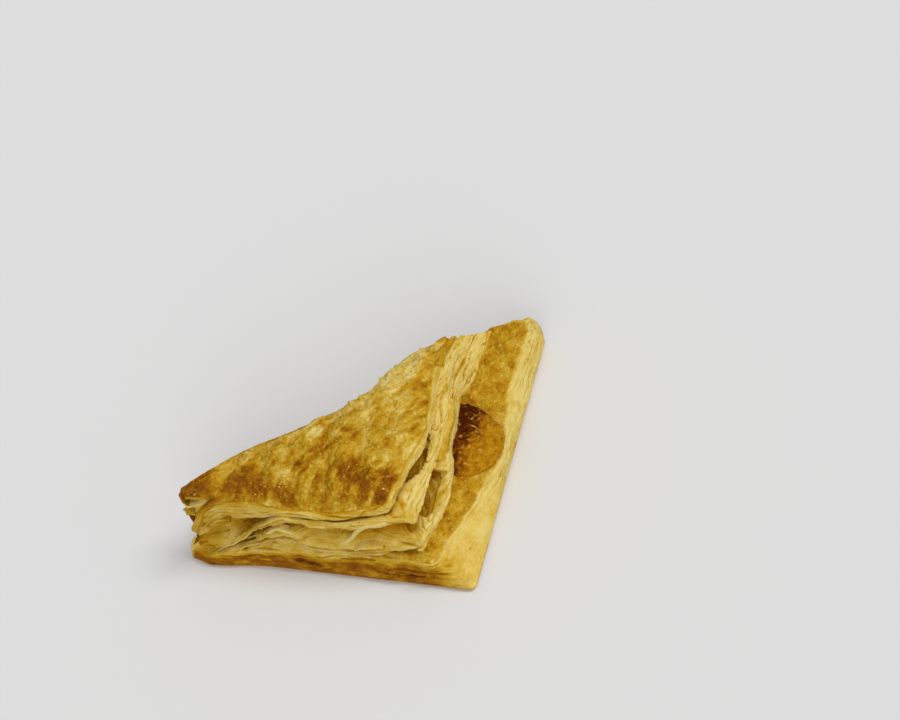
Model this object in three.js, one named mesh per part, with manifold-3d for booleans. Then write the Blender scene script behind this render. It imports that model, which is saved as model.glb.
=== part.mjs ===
// Turnover: a square of puff pastry folded corner to corner over a fruit filling and baked.
// The fold is the long back side. The two cut sides open into leaves of pastry, the lower flap
// stands out past the upper one as a lip, and some filling has run out over that lip.
// Millimetres, +Z up, resting on z = 0. The fold runs along X at the back and the square corner
// points to the front, along -Y. The origin is under the middle of the bounding box.
import * as THREE from "three";
import { mergeVertices } from "three/addons/utils/BufferGeometryUtils.js";
import Module from "manifold-3d";

// ---- Driving dimensions, in millimetres ----
const CUT_SIDE = 115; // each cut side, from the square corner to an end of the fold
const DOME_HEIGHT = 47; // top of the puffed upper flap
const FOLD_BULGE = 4.5; // how far the fold swells out past the base
const FOLD_SHOULDER = 4; // how far its rounded top edge stays in
const SHOULDER_RUN = 45; // length over which the shoulder rounds off from the right tip
const LEAF_END_RUN = 10; // length over which an edge line comes down the fold behind its leaf
const FOLD_MERGE = 8; // distance from the fold over which the leaves run into its shoulder
const BASE_BEVEL = 1.8; // how far the flat base stays in from the outline
const LEAST_STEP = 0.35; // least height between one edge line and the next
const TIP_SETBACK = 1.2; // how far the left tips of the upper leaves stay behind the lip
const TIP_LEAN = 0.05; // further sideways lean of those tips, for each mm of height
const TIP_REACH = 30; // how far the lean spreads from the left tip
const TIP_CLEFT_RUN = 12; // how far the clefts reach round the left tip into the fold
const FILLING_GAP = 0.35; // clearance between the pastry and its filling
const LEFT_WAVE = 0.3; // size of the small waves of the edge lines on the left cut side
const RIGHT_WAVE = 0.5; // and on the right one

// ---- Mesh density ----
const COLUMNS = 136;
const DOME_RINGS = 9;
const FILLING_SEGMENTS = [28, 18];
const CORNER_SHARPNESS = 26; // a larger number gives a smaller corner radius in plan
const LEAF_END_SHARPNESS = 90; // the same where the leaves end at the fold

// ---- Plan ----
// A plan position is [left, right]: the distances from the right cut side and from the left
// cut side. The square corner is [0, 0], the left tip [CUT_SIDE, 0], the right tip [0, CUT_SIDE].
const HUB = [50, 33]; // where the columns of the mesh meet, under the middle of the crust

function toPlan(left, right) {
  return new THREE.Vector2((right - left) / Math.SQRT2, (right + left - CUT_SIDE / 2) / Math.SQRT2);
}

// Height of the fold's shoulder, from the right tip to the left tip: [left, height].
const FOLD_SHOULDERS = [
  [0, 17.5], [7, 23.5], [15, 28], [24, 36.5], [37, 43], [48, 36.5], [66, 38.5], [90, 46], [115, 46],
];

// ---- Edge lines: outer edges of the leaves and roots of the clefts between them ----
// left, right: on that cut side, knots of [distance along it, inset from it, height]. Distances
// run from the left tip to the square corner, and from the square corner to the right tip.
// fold: place of the line on the closed fold side, as a share of the fold's height.
const EDGE_LINES = {
  lipFlank: {
    left: [
      [115, 0, 3.2], [86, -0.3, 4.5], [35, 0, 4.5], [0, 0.8, 6],
    ],
    right: [
      [0, 4, 6], [15, 2.5, 6.5], [29, 0.5, 6.5], [42, -0.9, 6.5], [80, -1, 6.5], [115, -0.6, 7],
    ],
    fold: 0.13,
  },
  lipBrim: {
    left: [
      [115, 0.5, 5], [100, 1, 6.5], [90, 1.4, 7.8], [80, 1.5, 9.5], [68, 1.5, 10.2], [56, 1.8, 9.6],
      [44, 2.5, 9.8], [30, 3, 11], [17, 2.5, 12], [0, 2.5, 12.5],
    ],
    right: [
      [0, 13.5, 11.5], [12, 11.6, 12], [21, 8.2, 12.5], [30, 5.2, 13], [40, 2.4, 13], [48, 0.6, 13],
      [57, 0.3, 13], [70, 2.5, 12.5], [84, 4, 12.5], [95, 3.2, 13.5], [115, 2.5, 15],
    ],
    fold: 0.25,
  },
  lipShelf: {
    left: [
      [115, 1.5, 5.3], [100, 2.5, 6.9], [90, 3.5, 8.4], [82, 4.5, 11.5], [72, 4.8, 14.5], [62, 3.6, 11.6],
      [50, 4.2, 11], [40, 4.4, 10.8], [28, 5.2, 13], [17, 5.5, 15], [0, 6, 15.5],
    ],
    right: [
      [0, 19, 15.5], [12, 15.5, 16.5], [24, 13.5, 17.3], [36, 13.6, 17.5], [46, 15.5, 17.5],
      [57, 18, 17.5], [70, 18, 19], [80, 16.5, 23], [92, 13.3, 24], [115, 12.5, 24.5],
    ],
    fold: 0.3,
  },
  lowerCleft: {
    left: [
      [115, 4.5, 5.7], [100, 6, 7.3], [90, 7, 9], [82, 9, 13], [74, 10, 17.5], [66, 8, 14], [56, 6.8, 12],
      [46, 7, 12.4], [38, 7, 11.2], [28, 8, 14], [17, 9.5, 16.5], [0, 9, 16.5],
    ],
    right: [
      [0, 21.5, 16.6], [15, 17.5, 18], [29, 16, 18.3], [40, 17.5, 18.6], [50, 24, 18.8], [60, 26, 19.2],
      [70, 22, 21], [80, 18, 24], [92, 14.8, 25], [115, 14, 25.5],
    ],
    fold: 0.33,
  },
  lowerLeafFoot: {
    left: [
      [115, 4.7, 6], [100, 6, 7.6], [90, 5.5, 9.4], [84, 3.2, 14], [79, 2.5, 16.5], [73, 2.5, 19.5],
      [69, 2.6, 19.5], [65, 2.8, 15.5], [60, 3, 13.5], [54, 3.2, 13.2], [48, 3.6, 14.6], [44, 4, 13.4],
      [38, 4.2, 12], [31, 4.6, 14.4], [24, 5.2, 16], [17, 6, 17.6], [0, 8, 18],
    ],
    right: [
      [0, 20.5, 17.5], [15, 15.5, 19], [29, 13.8, 19.5], [40, 14.5, 19.5], [47, 17, 20], [57, 18.5, 20.5],
      [70, 19, 23], [80, 18, 25], [92, 15.2, 25.6], [115, 14.5, 26],
    ],
    fold: 0.36,
  },
  lowerLeafBrim: {
    left: [
      [115, 4.8, 6.4], [100, 6.2, 8], [90, 5.5, 10], [84, 3, 16.5], [79, 2.6, 19.5], [73, 2.6, 23],
      [69, 2.7, 22.6], [65, 3, 19.2], [60, 3.2, 17], [54, 3.4, 16.4], [48, 4, 17.2], [43, 4.6, 16],
      [38, 5, 15], [31, 5.6, 17.2], [24, 6.2, 19], [17, 7, 20.4], [0, 9, 21.5],
    ],
    right: [
      [0, 19.5, 21.5], [15, 16.5, 23], [29, 15.5, 24], [38, 15.2, 24.5], [46, 17, 25.5], [57, 17.8, 26.5],
      [66, 19, 28], [75, 20, 29], [84, 18.5, 28.5], [92, 17, 27.8], [115, 16, 27],
    ],
    fold: 0.5,
  },
  middleCleft: {
    left: [
      [115, 5, 6.8], [100, 6.5, 8.4], [90, 6.5, 10.4], [84, 7, 17], [78, 8, 21], [72, 9.5, 23.5],
      [66, 8.5, 23.5], [58, 7.5, 23], [50, 8.2, 24], [44, 8.5, 23.5], [37, 8.6, 22], [30, 9.5, 24],
      [17, 12, 25.5], [0, 14, 26],
    ],
    right: [
      [0, 22, 24], [8, 22.5, 22], [16, 24, 21], [26, 25, 21.5], [33, 23.5, 23.5], [39, 19.5, 26.5],
      [46, 20, 27.5], [57, 21, 28], [70, 21.5, 29], [80, 20.5, 29.5], [92, 18.5, 29], [115, 17.5, 28.5],
    ],
    fold: 0.53,
  },
  upperLeafFoot: {
    left: [
      [115, 0.8, 7.1], [100, 1.2, 8.8], [90, 2.2, 11], [86, 2.8, 14], [82, 3.3, 18], [77, 3.8, 22],
      [72, 4.2, 25], [66, 4.4, 27], [58, 4.4, 26.2], [50, 4.6, 26.2], [44, 5.2, 25.6], [38, 5.6, 27],
      [31, 7, 28.2], [24, 9, 29.2], [17, 10.5, 29], [0, 12, 28],
    ],
    right: [
      [0, 20.5, 28], [8, 20.5, 26.5], [16, 20.5, 26], [26, 20.3, 26.8], [34, 20, 27.5], [40, 18.5, 28],
      [50, 18.8, 29], [60, 19.2, 29.5], [70, 21, 30], [80, 21, 30.5], [92, 18.9, 29.6], [115, 18, 29],
    ],
    fold: 0.56,
  },
  upperLeafBrim: {
    left: [
      [115, 0.8, 9], [108, 1.5, 10.5], [100, 1.8, 11], [93, 2.5, 12.5], [88, 3, 16], [82, 3.6, 21.5],
      [77, 4, 25.5], [72, 4.4, 28.6], [66, 4.6, 30], [58, 4.8, 29.3], [50, 5, 29.3], [44, 5.6, 29.3],
      [38, 6.4, 30.8], [31, 8, 31.6], [24, 10, 32.2], [17, 12, 32.2], [0, 13, 31.5],
    ],
    right: [
      [0, 24, 31.5], [15, 25.3, 31], [22, 24.5, 30.5], [30, 22.4, 30], [40, 20.8, 30.6], [48, 21, 32.6],
      [60, 22, 34], [70, 22, 35], [80, 22.5, 35], [92, 21, 32], [115, 20, 31.5],
    ],
    fold: 0.7,
  },
  upperCleft: {
    left: [
      [115, 2.5, 13], [108, 5, 13], [100, 11, 16.5], [94, 13, 19], [88, 12, 20.5], [82, 9, 24],
      [76, 6.5, 28], [70, 6, 30.3], [60, 6, 29.9], [50, 6.4, 29.9], [40, 8.4, 31.6], [30, 10.5, 32.6],
      [17, 15, 33.4], [0, 17, 32.5],
    ],
    right: [
      [0, 28, 32.5], [15, 30, 32], [24, 31, 29.8], [34, 30, 29], [42, 27, 30], [50, 23.5, 33.6],
      [60, 25.3, 35], [70, 25.5, 36], [80, 26, 36], [92, 22.3, 33], [115, 21.5, 32.5],
    ],
    fold: 0.73,
  },
  crustFoot: {
    left: [
      [115, 0, 14], [110, 0.6, 16], [104, 3.2, 22], [97, 4.4, 24.3], [88, 5.2, 24.8], [80, 5, 27],
      [73, 4.9, 29.8], [66, 5, 30.9], [58, 5.1, 30.5], [50, 5.7, 30.7], [44, 6.4, 31.5], [38, 7.4, 32.3],
      [31, 9, 33.3], [24, 11, 34.2], [17, 12, 34.2], [0, 13, 33.5],
    ],
    right: [
      [0, 27.5, 33.8], [15, 28, 34.3], [26, 25.6, 35], [36, 22.8, 35.3], [46, 22.6, 35.6], [57, 24, 36],
      [70, 24.8, 36.8], [80, 24.5, 37], [92, 22.7, 33.6], [115, 22, 33],
    ],
    fold: 0.76,
  },
  crustBrim: {
    left: [
      [115, -0.8, 41.5], [108, 1, 39.5], [101, 3, 37], [95, 4.8, 35], [88, 6, 34.6], [80, 6.2, 35.2],
      [74, 6.2, 34.2], [68, 6.4, 33.2], [60, 6.6, 33], [52, 7.1, 33.3], [45, 8, 34], [38, 9.4, 35.4],
      [31, 11.2, 37], [24, 13, 38.6], [17, 13.5, 38.6], [0, 14, 38.5],
    ],
    right: [
      [0, 29.5, 38.5], [15, 28.8, 39], [29, 25.4, 39.7], [42, 22.8, 40], [57, 24.6, 40.3], [70, 26, 40.8],
      [80, 26, 40.5], [92, 25, 36.5], [115, 25, 35.5],
    ],
    fold: 0.97,
  },
};

const FIRST_LEAF = 2; // place in this list of the first line above the lip
const POCKET_DIP = 3; // how far the root of a cleft may lie below the leaf in front of it

// A smooth curve through one of the values of knots, by their distance along the side.
function lineThrough(knots, value) {
  const spline = new THREE.SplineCurve(knots.map((knot) => new THREE.Vector2(knot[0], knot[value])));
  const last = knots.length - 1;
  const direction = Math.sign(knots[last][0] - knots[0][0]);
  return (place) => {
    let i = 0;
    while (i < last - 1 && direction * (place - knots[i + 1][0]) > 0) i++;
    const part = (place - knots[i][0]) / (knots[i + 1][0] - knots[i][0]);
    return spline.getPoint((i + THREE.MathUtils.clamp(part, 0, 1)) / last).y;
  };
}

const foldHeight = lineThrough(FOLD_SHOULDERS, 1);

// Small waves along the cut sides, different for each line.
function wave(place, seed) {
  return 0.5 * Math.sin(0.15 * place + 2.1 * seed) + 0.4 * Math.sin(0.31 * place + 5.3 * seed)
    + 0.3 * Math.sin(0.56 * place + 1.7 * seed);
}

function bell(distance, width) {
  return Math.exp(-((distance / width) ** 2));
}

// ---- The three sides as seen from the hub ----
// Each gives, for an edge line, the inset and the height at a plan position.
const FOLD_REACH = (CUT_SIDE - HUB[0] - HUB[1]) / Math.SQRT2;

function leftSide(line, seed) {
  const inset = lineThrough(line.left, 1);
  const height = lineThrough(line.left, 2);
  return {
    reach: HUB[1],
    slope: (step) => -step[1],
    inset: ([left]) => inset(left) + LEFT_WAVE * wave(left, seed),
    height: ([left]) => height(left) + LEFT_WAVE * wave(left, seed + 7),
  };
}

// 1 at the fold, where the leaves run together, falling to 0 at FOLD_MERGE from it.
function nearFold([left, right]) {
  const fromFold = (CUT_SIDE - left - right) / Math.SQRT2;
  return 1 - THREE.MathUtils.smoothstep(fromFold, 0, FOLD_MERGE);
}

function shoulderInset(foldPlaceLeft) {
  return FOLD_SHOULDER * THREE.MathUtils.smoothstep(foldPlaceLeft, 0, SHOULDER_RUN);
}

// Left distance at which a column with this step meets the sharp fold line.
function foldPlace([stepLeft, stepRight]) {
  return HUB[0] + (stepLeft * (CUT_SIDE - HUB[0] - HUB[1])) / Math.max(stepLeft + stepRight, 1e-6);
}

// The fold place of the column in which an edge line runs into the fold's shoulder.
function leafEndOf(line) {
  const inset = lineThrough(line.right, 1);
  let end = line.right.at(-1)[1];
  let found = end;
  for (let pass = 0; pass < 12; pass++) {
    const shoulder = CUT_SIDE - shoulderInset(found) * Math.SQRT2;
    end = inset(shoulder - end);
    found = foldPlace([end - HUB[0], shoulder - end - HUB[1]]);
  }
  return found;
}

function rightSide(line, seed) {
  const inset = lineThrough(line.right, 1);
  const height = lineThrough(line.right, 2);
  return {
    reach: HUB[0],
    slope: (step) => -step[0],
    inset: (position) => {
      const free = RIGHT_WAVE * wave(position[1], seed + 3);
      return inset(position[1]) + free * (1 - nearFold(position));
    },
    height: (position) => {
      const [left, right] = position;
      const merged = seed < FIRST_LEAF ? 0 : nearFold(position);
      const free = height(right) + RIGHT_WAVE * wave(right, seed + 5);
      return THREE.MathUtils.lerp(free, foldHeight(left), merged);
    },
  };
}

// The fold swells out halfway up. Where a leaf ends, its line runs up to the fold's shoulder, and
// it comes down again behind the end of the leaf above.
function foldSide(line, lineAbove) {
  const leafEnd = Math.max(leafEndOf(line), lineAbove ? leafEndOf(lineAbove) : 0);
  const share = (step) => {
    const away = THREE.MathUtils.smoothstep(foldPlace(step), leafEnd, leafEnd + LEAF_END_RUN);
    return THREE.MathUtils.lerp(1, line.fold, away);
  };
  const ends = (step) => {
    return Math.sin(Math.PI * THREE.MathUtils.clamp(foldPlace(step) / CUT_SIDE, 0, 1)) ** 0.4;
  };
  return {
    reach: FOLD_REACH,
    slope: (step) => (step[0] + step[1]) / Math.SQRT2,
    inset: (_, step) => {
      const swell = FOLD_BULGE * Math.sin(Math.PI * share(step)) * ends(step);
      const place = foldPlace(step);
      const tipCleft = line.left[0][1] * THREE.MathUtils.smoothstep(place, CUT_SIDE - TIP_CLEFT_RUN, CUT_SIDE);
      return shoulderInset(place) * share(step) ** 4 - swell + tipCleft;
    },
    height: ([left], step) => share(step) * foldHeight(left),
  };
}

// ---- Columns of the mesh ----
// Evenly spaced along the sharp outline, each running from it to the hub.
const outerCorners = [[CUT_SIDE, 0], [0, 0], [0, CUT_SIDE]];
const outlinePath = new THREE.Path();
outlinePath.setFromPoints([...outerCorners, outerCorners[0]].map(([left, right]) => new THREE.Vector2(left, right)));
const outerPoints = outlinePath.getSpacedPoints(COLUMNS).slice(0, COLUMNS);
const columns = outerPoints.map((point) => [point.x - HUB[0], point.y - HUB[1]]);

// Where a line with these three sides crosses a column: its share of the way from the hub to
// the outline, and its height. The corners come out rounded.
function crossing(step, sides) {
  const sharpness = step[0] < 0 && step[1] > 0 ? LEAF_END_SHARPNESS : CORNER_SHARPNESS;
  let total = 0;
  let height = 0;
  for (const side of sides) {
    const slope = side.slope(step);
    if (slope <= 0) continue;
    let share = 1;
    for (let pass = 0; pass < 4; pass++) {
      const position = [HUB[0] + step[0] * share, HUB[1] + step[1] * share];
      share = (side.reach - side.inset(position, step)) / slope;
      share = THREE.MathUtils.clamp(share, 0.05, 1.6);
    }
    const weight = share ** -sharpness;
    total += weight;
    const position = [HUB[0] + step[0] * share, HUB[1] + step[1] * share];
    height += weight * side.height(position, step);
  }
  return { share: total ** (-1 / sharpness), height: height / total };
}

// Places a point of a column, with the setback and lean of the left tip.
function place(column, share, height) {
  const [stepLeft, stepRight] = columns[column];
  const left = HUB[0] + stepLeft * share;
  const right = HUB[1] + stepRight * share;
  const plan = toPlan(left, right);
  const nearTip = bell(Math.hypot(left - CUT_SIDE, right), TIP_REACH);
  const aboveLip = THREE.MathUtils.smoothstep(height, 7, 13);
  plan.x += nearTip * (TIP_SETBACK * aboveLip + TIP_LEAN * height);
  return new THREE.Vector3(plan.x, plan.y, height);
}

function plainRing(inset, height) {
  const flat = (reach, slope) => ({ reach, slope, inset: () => inset, height: () => height });
  const sides = [
    flat(HUB[1], (step) => -step[1]),
    flat(HUB[0], (step) => -step[0]),
    flat(FOLD_REACH, (step) => (step[0] + step[1]) / Math.SQRT2),
  ];
  return columns.map((step, c) => place(c, crossing(step, sides).share, height));
}

// Rings from the base to the brim of the crust, and the state of every column there.
function edgeRings() {
  const rings = [plainRing(22, 0), plainRing(BASE_BEVEL, 0), plainRing(-0.4, 0.8 * BASE_BEVEL)];
  const heights = columns.map(() => 0.8 * BASE_BEVEL);
  const shares = columns.map(() => 1);
  const lines = Object.entries(EDGE_LINES);
  lines.forEach(([name, line], seed) => {
    const lineAbove = lines[seed + 1]?.[1];
    const sides = [leftSide(line, seed), rightSide(line, seed), foldSide(line, lineAbove)];
    const isCleft = name.endsWith("Cleft");
    rings.push(columns.map((step, c) => {
      const found = crossing(step, sides);
      const height = Math.max(found.height, heights[c] + (isCleft ? -POCKET_DIP : LEAST_STEP));
      heights[c] = Math.max(heights[c], height);
      shares[c] = found.share;
      return place(c, shares[c], height);
    }));
  });
  return { rings, heights, shares };
}

// Relief of the crust: low blisters and creases, from waves that cross one another.
function blister(x, y) {
  return 0.9 * Math.sin(0.23 * x + 0.9) * Math.sin(0.27 * y + 0.4)
    + 0.7 * Math.sin(0.41 * x - 0.33 * y) + 0.5 * Math.sin(0.62 * y + 0.48 * x + 2);
}

// Evens out a value per column over its neighbours.
function evened(values, reach) {
  return values.map((_, c) => {
    let sum = 0;
    for (let step = -reach; step <= reach; step++) sum += values[(c + step + COLUMNS) % COLUMNS];
    return sum / (2 * reach + 1);
  });
}

// The upper flap: from its brim up over the dome to the hub. Its rings lose the brim's waves.
function domeRings(brimShares, brimHeights) {
  const rings = [];
  for (let i = 1; i < DOME_RINGS; i++) {
    const inward = (i / DOME_RINGS) ** 1.2;
    const swell = 1 - (1 - inward) ** 2.4;
    const shares = evened(brimShares, i - 1);
    const heights = evened(brimHeights, i);
    rings.push(columns.map((_, c) => {
      const height = THREE.MathUtils.lerp(heights[c], DOME_HEIGHT, swell);
      const point = place(c, shares[c] * (1 - inward), height);
      point.z += blister(point.x, point.y) * Math.min(1, 2.5 * inward) * (1 - inward ** 3);
      return point;
    }));
  }
  return rings;
}

// Joins rings of points into one closed surface, with a pole at each end.
function loft(rings, bottomPole, topPole) {
  const points = [bottomPole, ...rings.flat(), topPole];
  const count = rings[0].length;
  const at = (ring, column) => 1 + ring * count + (column % count);
  const faces = [];
  for (let c = 0; c < count; c++) {
    faces.push(0, at(0, c + 1), at(0, c));
    for (let r = 0; r + 1 < rings.length; r++) {
      faces.push(at(r, c), at(r, c + 1), at(r + 1, c));
      faces.push(at(r, c + 1), at(r + 1, c + 1), at(r + 1, c));
    }
    faces.push(at(rings.length - 1, c), at(rings.length - 1, c + 1), points.length - 1);
  }
  const geometry = new THREE.BufferGeometry().setFromPoints(points);
  geometry.setIndex(faces);
  return geometry;
}

function pastryBody() {
  const { rings, heights, shares } = edgeRings();
  const hub = toPlan(...HUB);
  const bottomPole = new THREE.Vector3(hub.x, hub.y, 0);
  const topPole = new THREE.Vector3(hub.x, hub.y, DOME_HEIGHT);
  return loft([...rings, ...domeRings(shares, heights)], bottomPole, topPole);
}

// ---- Filling: a flat body in the middle that runs out between the leaves over the lip ----
const FILLING = {
  outerEnd: toPlan(-0.8, 61), // where the run-out stops, just past the lip's edge
  innerEnd: toPlan(54, 46), // inside the turnover
  halfWidth: 19,
  halfThickness: 6,
  height: 17.5, // its middle plane
  drop: 1.5, // how much lower the run-out lies
};

// A flattened ball with blunt ends; grow makes the pocket that it sits in.
function fillingBody(grow) {
  const geometry = new THREE.SphereGeometry(1, ...FILLING_SEGMENTS);
  geometry.rotateZ(Math.PI / 2);
  const position = geometry.getAttribute("position");
  const run = FILLING.outerEnd.clone().sub(FILLING.innerEnd);
  const along = run.clone().normalize();
  const across = new THREE.Vector2(-along.y, along.x);
  const middle = FILLING.outerEnd.clone().add(FILLING.innerEnd).multiplyScalar(0.5);
  const blunt = (value) => Math.sign(value) * Math.abs(value) ** 0.82;
  for (let i = 0; i < position.count; i++) {
    const x = blunt(position.getX(i));
    const y = blunt(position.getY(i));
    const z = position.getZ(i);
    const plan = middle.clone()
      .addScaledVector(along, x * (run.length() / 2 + grow))
      .addScaledVector(across, y * (FILLING.halfWidth + grow));
    const runOut = THREE.MathUtils.smoothstep(x, -0.6, 0.9);
    const height = FILLING.height - FILLING.drop * runOut + z * (FILLING.halfThickness + grow);
    position.setXYZ(i, plan.x, plan.y, height);
  }
  return geometry;
}

// ---- Boolean cut of the pocket ----
const wasm = await Module();
wasm.setup();

function toSolid(geometry) {
  const bare = geometry.clone();
  bare.deleteAttribute("normal");
  bare.deleteAttribute("uv");
  const merged = mergeVertices(bare, 1e-4);
  return new wasm.Manifold(new wasm.Mesh({
    numProp: 3,
    vertProperties: new Float32Array(merged.getAttribute("position").array),
    triVerts: new Uint32Array(merged.index.array),
  }));
}

function toGeometry(solid) {
  const mesh = solid.getMesh();
  const geometry = new THREE.BufferGeometry();
  geometry.setAttribute("position", new THREE.BufferAttribute(mesh.vertProperties, 3));
  geometry.setIndex(new THREE.BufferAttribute(mesh.triVerts, 1));
  geometry.computeVertexNormals();
  return geometry;
}

function largestBody(solid) {
  return solid.decompose().sort((a, b) => b.volume() - a.volume())[0];
}

// ---- The object ----
const pocketed = toSolid(pastryBody()).subtract(toSolid(fillingBody(FILLING_GAP)));
const pastryFinish = new THREE.MeshStandardMaterial({ color: 0xd9a441, roughness: 0.7, metalness: 0 });
const fillingFinish = new THREE.MeshStandardMaterial({ color: 0x8a4b12, roughness: 0.45, metalness: 0 });

const turnover = new THREE.Group();
const pastry = new THREE.Mesh(toGeometry(largestBody(pocketed)), pastryFinish);
pastry.name = "pastry";
const filling = new THREE.Mesh(fillingBody(0), fillingFinish);
filling.name = "filling";
turnover.add(pastry, filling);

// The origin goes under the middle of the bounding box.
const middle = new THREE.Box3().setFromObject(turnover).getCenter(new THREE.Vector3());
turnover.position.set(-middle.x, -middle.y, 0);

export default turnover;
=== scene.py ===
"""Looks of a baked puff-pastry turnover: flaky cut sides, browned crust, baked-out filling.

Plan positions are (left, right): distances in mm from the right and from the left cut side.
Everything is worked out in mm and stored in metres.
"""

import math
import random

import bmesh
import bpy
import numpy as np
from mathutils import Matrix, Vector
from mathutils.bvhtree import BVHTree


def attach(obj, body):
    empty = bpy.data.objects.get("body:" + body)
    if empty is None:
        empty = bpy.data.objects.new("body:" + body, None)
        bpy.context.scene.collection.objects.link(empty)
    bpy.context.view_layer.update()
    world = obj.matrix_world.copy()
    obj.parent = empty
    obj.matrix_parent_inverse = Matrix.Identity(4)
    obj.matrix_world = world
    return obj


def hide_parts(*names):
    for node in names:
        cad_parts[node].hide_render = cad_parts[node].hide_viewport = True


MM = 0.001
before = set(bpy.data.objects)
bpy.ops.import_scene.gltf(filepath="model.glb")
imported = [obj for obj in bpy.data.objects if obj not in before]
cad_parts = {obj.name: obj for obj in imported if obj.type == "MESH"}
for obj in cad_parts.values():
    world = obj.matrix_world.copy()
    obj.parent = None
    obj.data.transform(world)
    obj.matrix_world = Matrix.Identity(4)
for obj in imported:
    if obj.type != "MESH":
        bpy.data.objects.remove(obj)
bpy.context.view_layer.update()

# ---- Shape of the turnover, in mm ----
CUT_SIDE = 115.0
DOME_HEIGHT = 47.0
FOLD_BULGE = 4.5  # how far the fold bulges out past its straight line
FOLD_SHOULDER = 4.0  # how far the top of the fold stays inside its foot
SHOULDER_RUN = 45.0  # distance from the right tip over which the shoulder comes in
LEAF_END_RUN = 10.0  # distance over which the edge lines come down the fold from its shoulder
FOLD_MERGE = 8.0  # distance from the fold within which the right leaves run together
LEAST_STEP = 0.3  # least height from one edge line to the next
TIP_SETBACK = 1.2  # how far the upper leaves stay back from the left tip
TIP_LEAN = 0.05  # and how much further for every mm of height
TIP_REACH = 30.0
TIP_CLEFT_RUN = 12.0  # how far the clefts run round the left tip onto the fold
TIP_TRIM = 2.6  # how far the leaves stay back from the tip of the lip
TIP_TRIM_REACH = 17.0
TIP_HOLLOW = 1.5  # how much further the leaves between the lip and the crust stay back
TIP_HOLLOW_REACH = 11.0
LIP_BULGE = 2.4  # how far the lip bulges out beside the left tip
LIP_BULGE_PLACE = 105.5
LIP_BULGE_REACH = (14, 6)  # towards the square corner and towards the tip
CORNER_SHARPNESS = 40  # how sharply the sides meet at the corners
LEAF_END_SHARPNESS = 90  # the same where the leaves end at the right tip
HUB = (50.0, 33.0)  # left and right of the point from which all columns run out
FOLD_REACH = (CUT_SIDE - HUB[0] - HUB[1]) / math.sqrt(2)
ORIGIN_SHIFT = (-0.511, -2.598)  # puts the middle of the bounding box on the origin

# Left distance and height of the top of the fold.
FOLD_SHOULDERS = np.array((
    (0, 17.5), (7, 23.5), (15, 28), (24, 36.5), (37, 43), (48, 36.5), (66, 38.5), (90, 46), (115, 46),
))


def knots(*values):
    """Knots of an edge line on one side: distance along it, inset from it, height."""
    return np.array(values, float)


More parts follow.
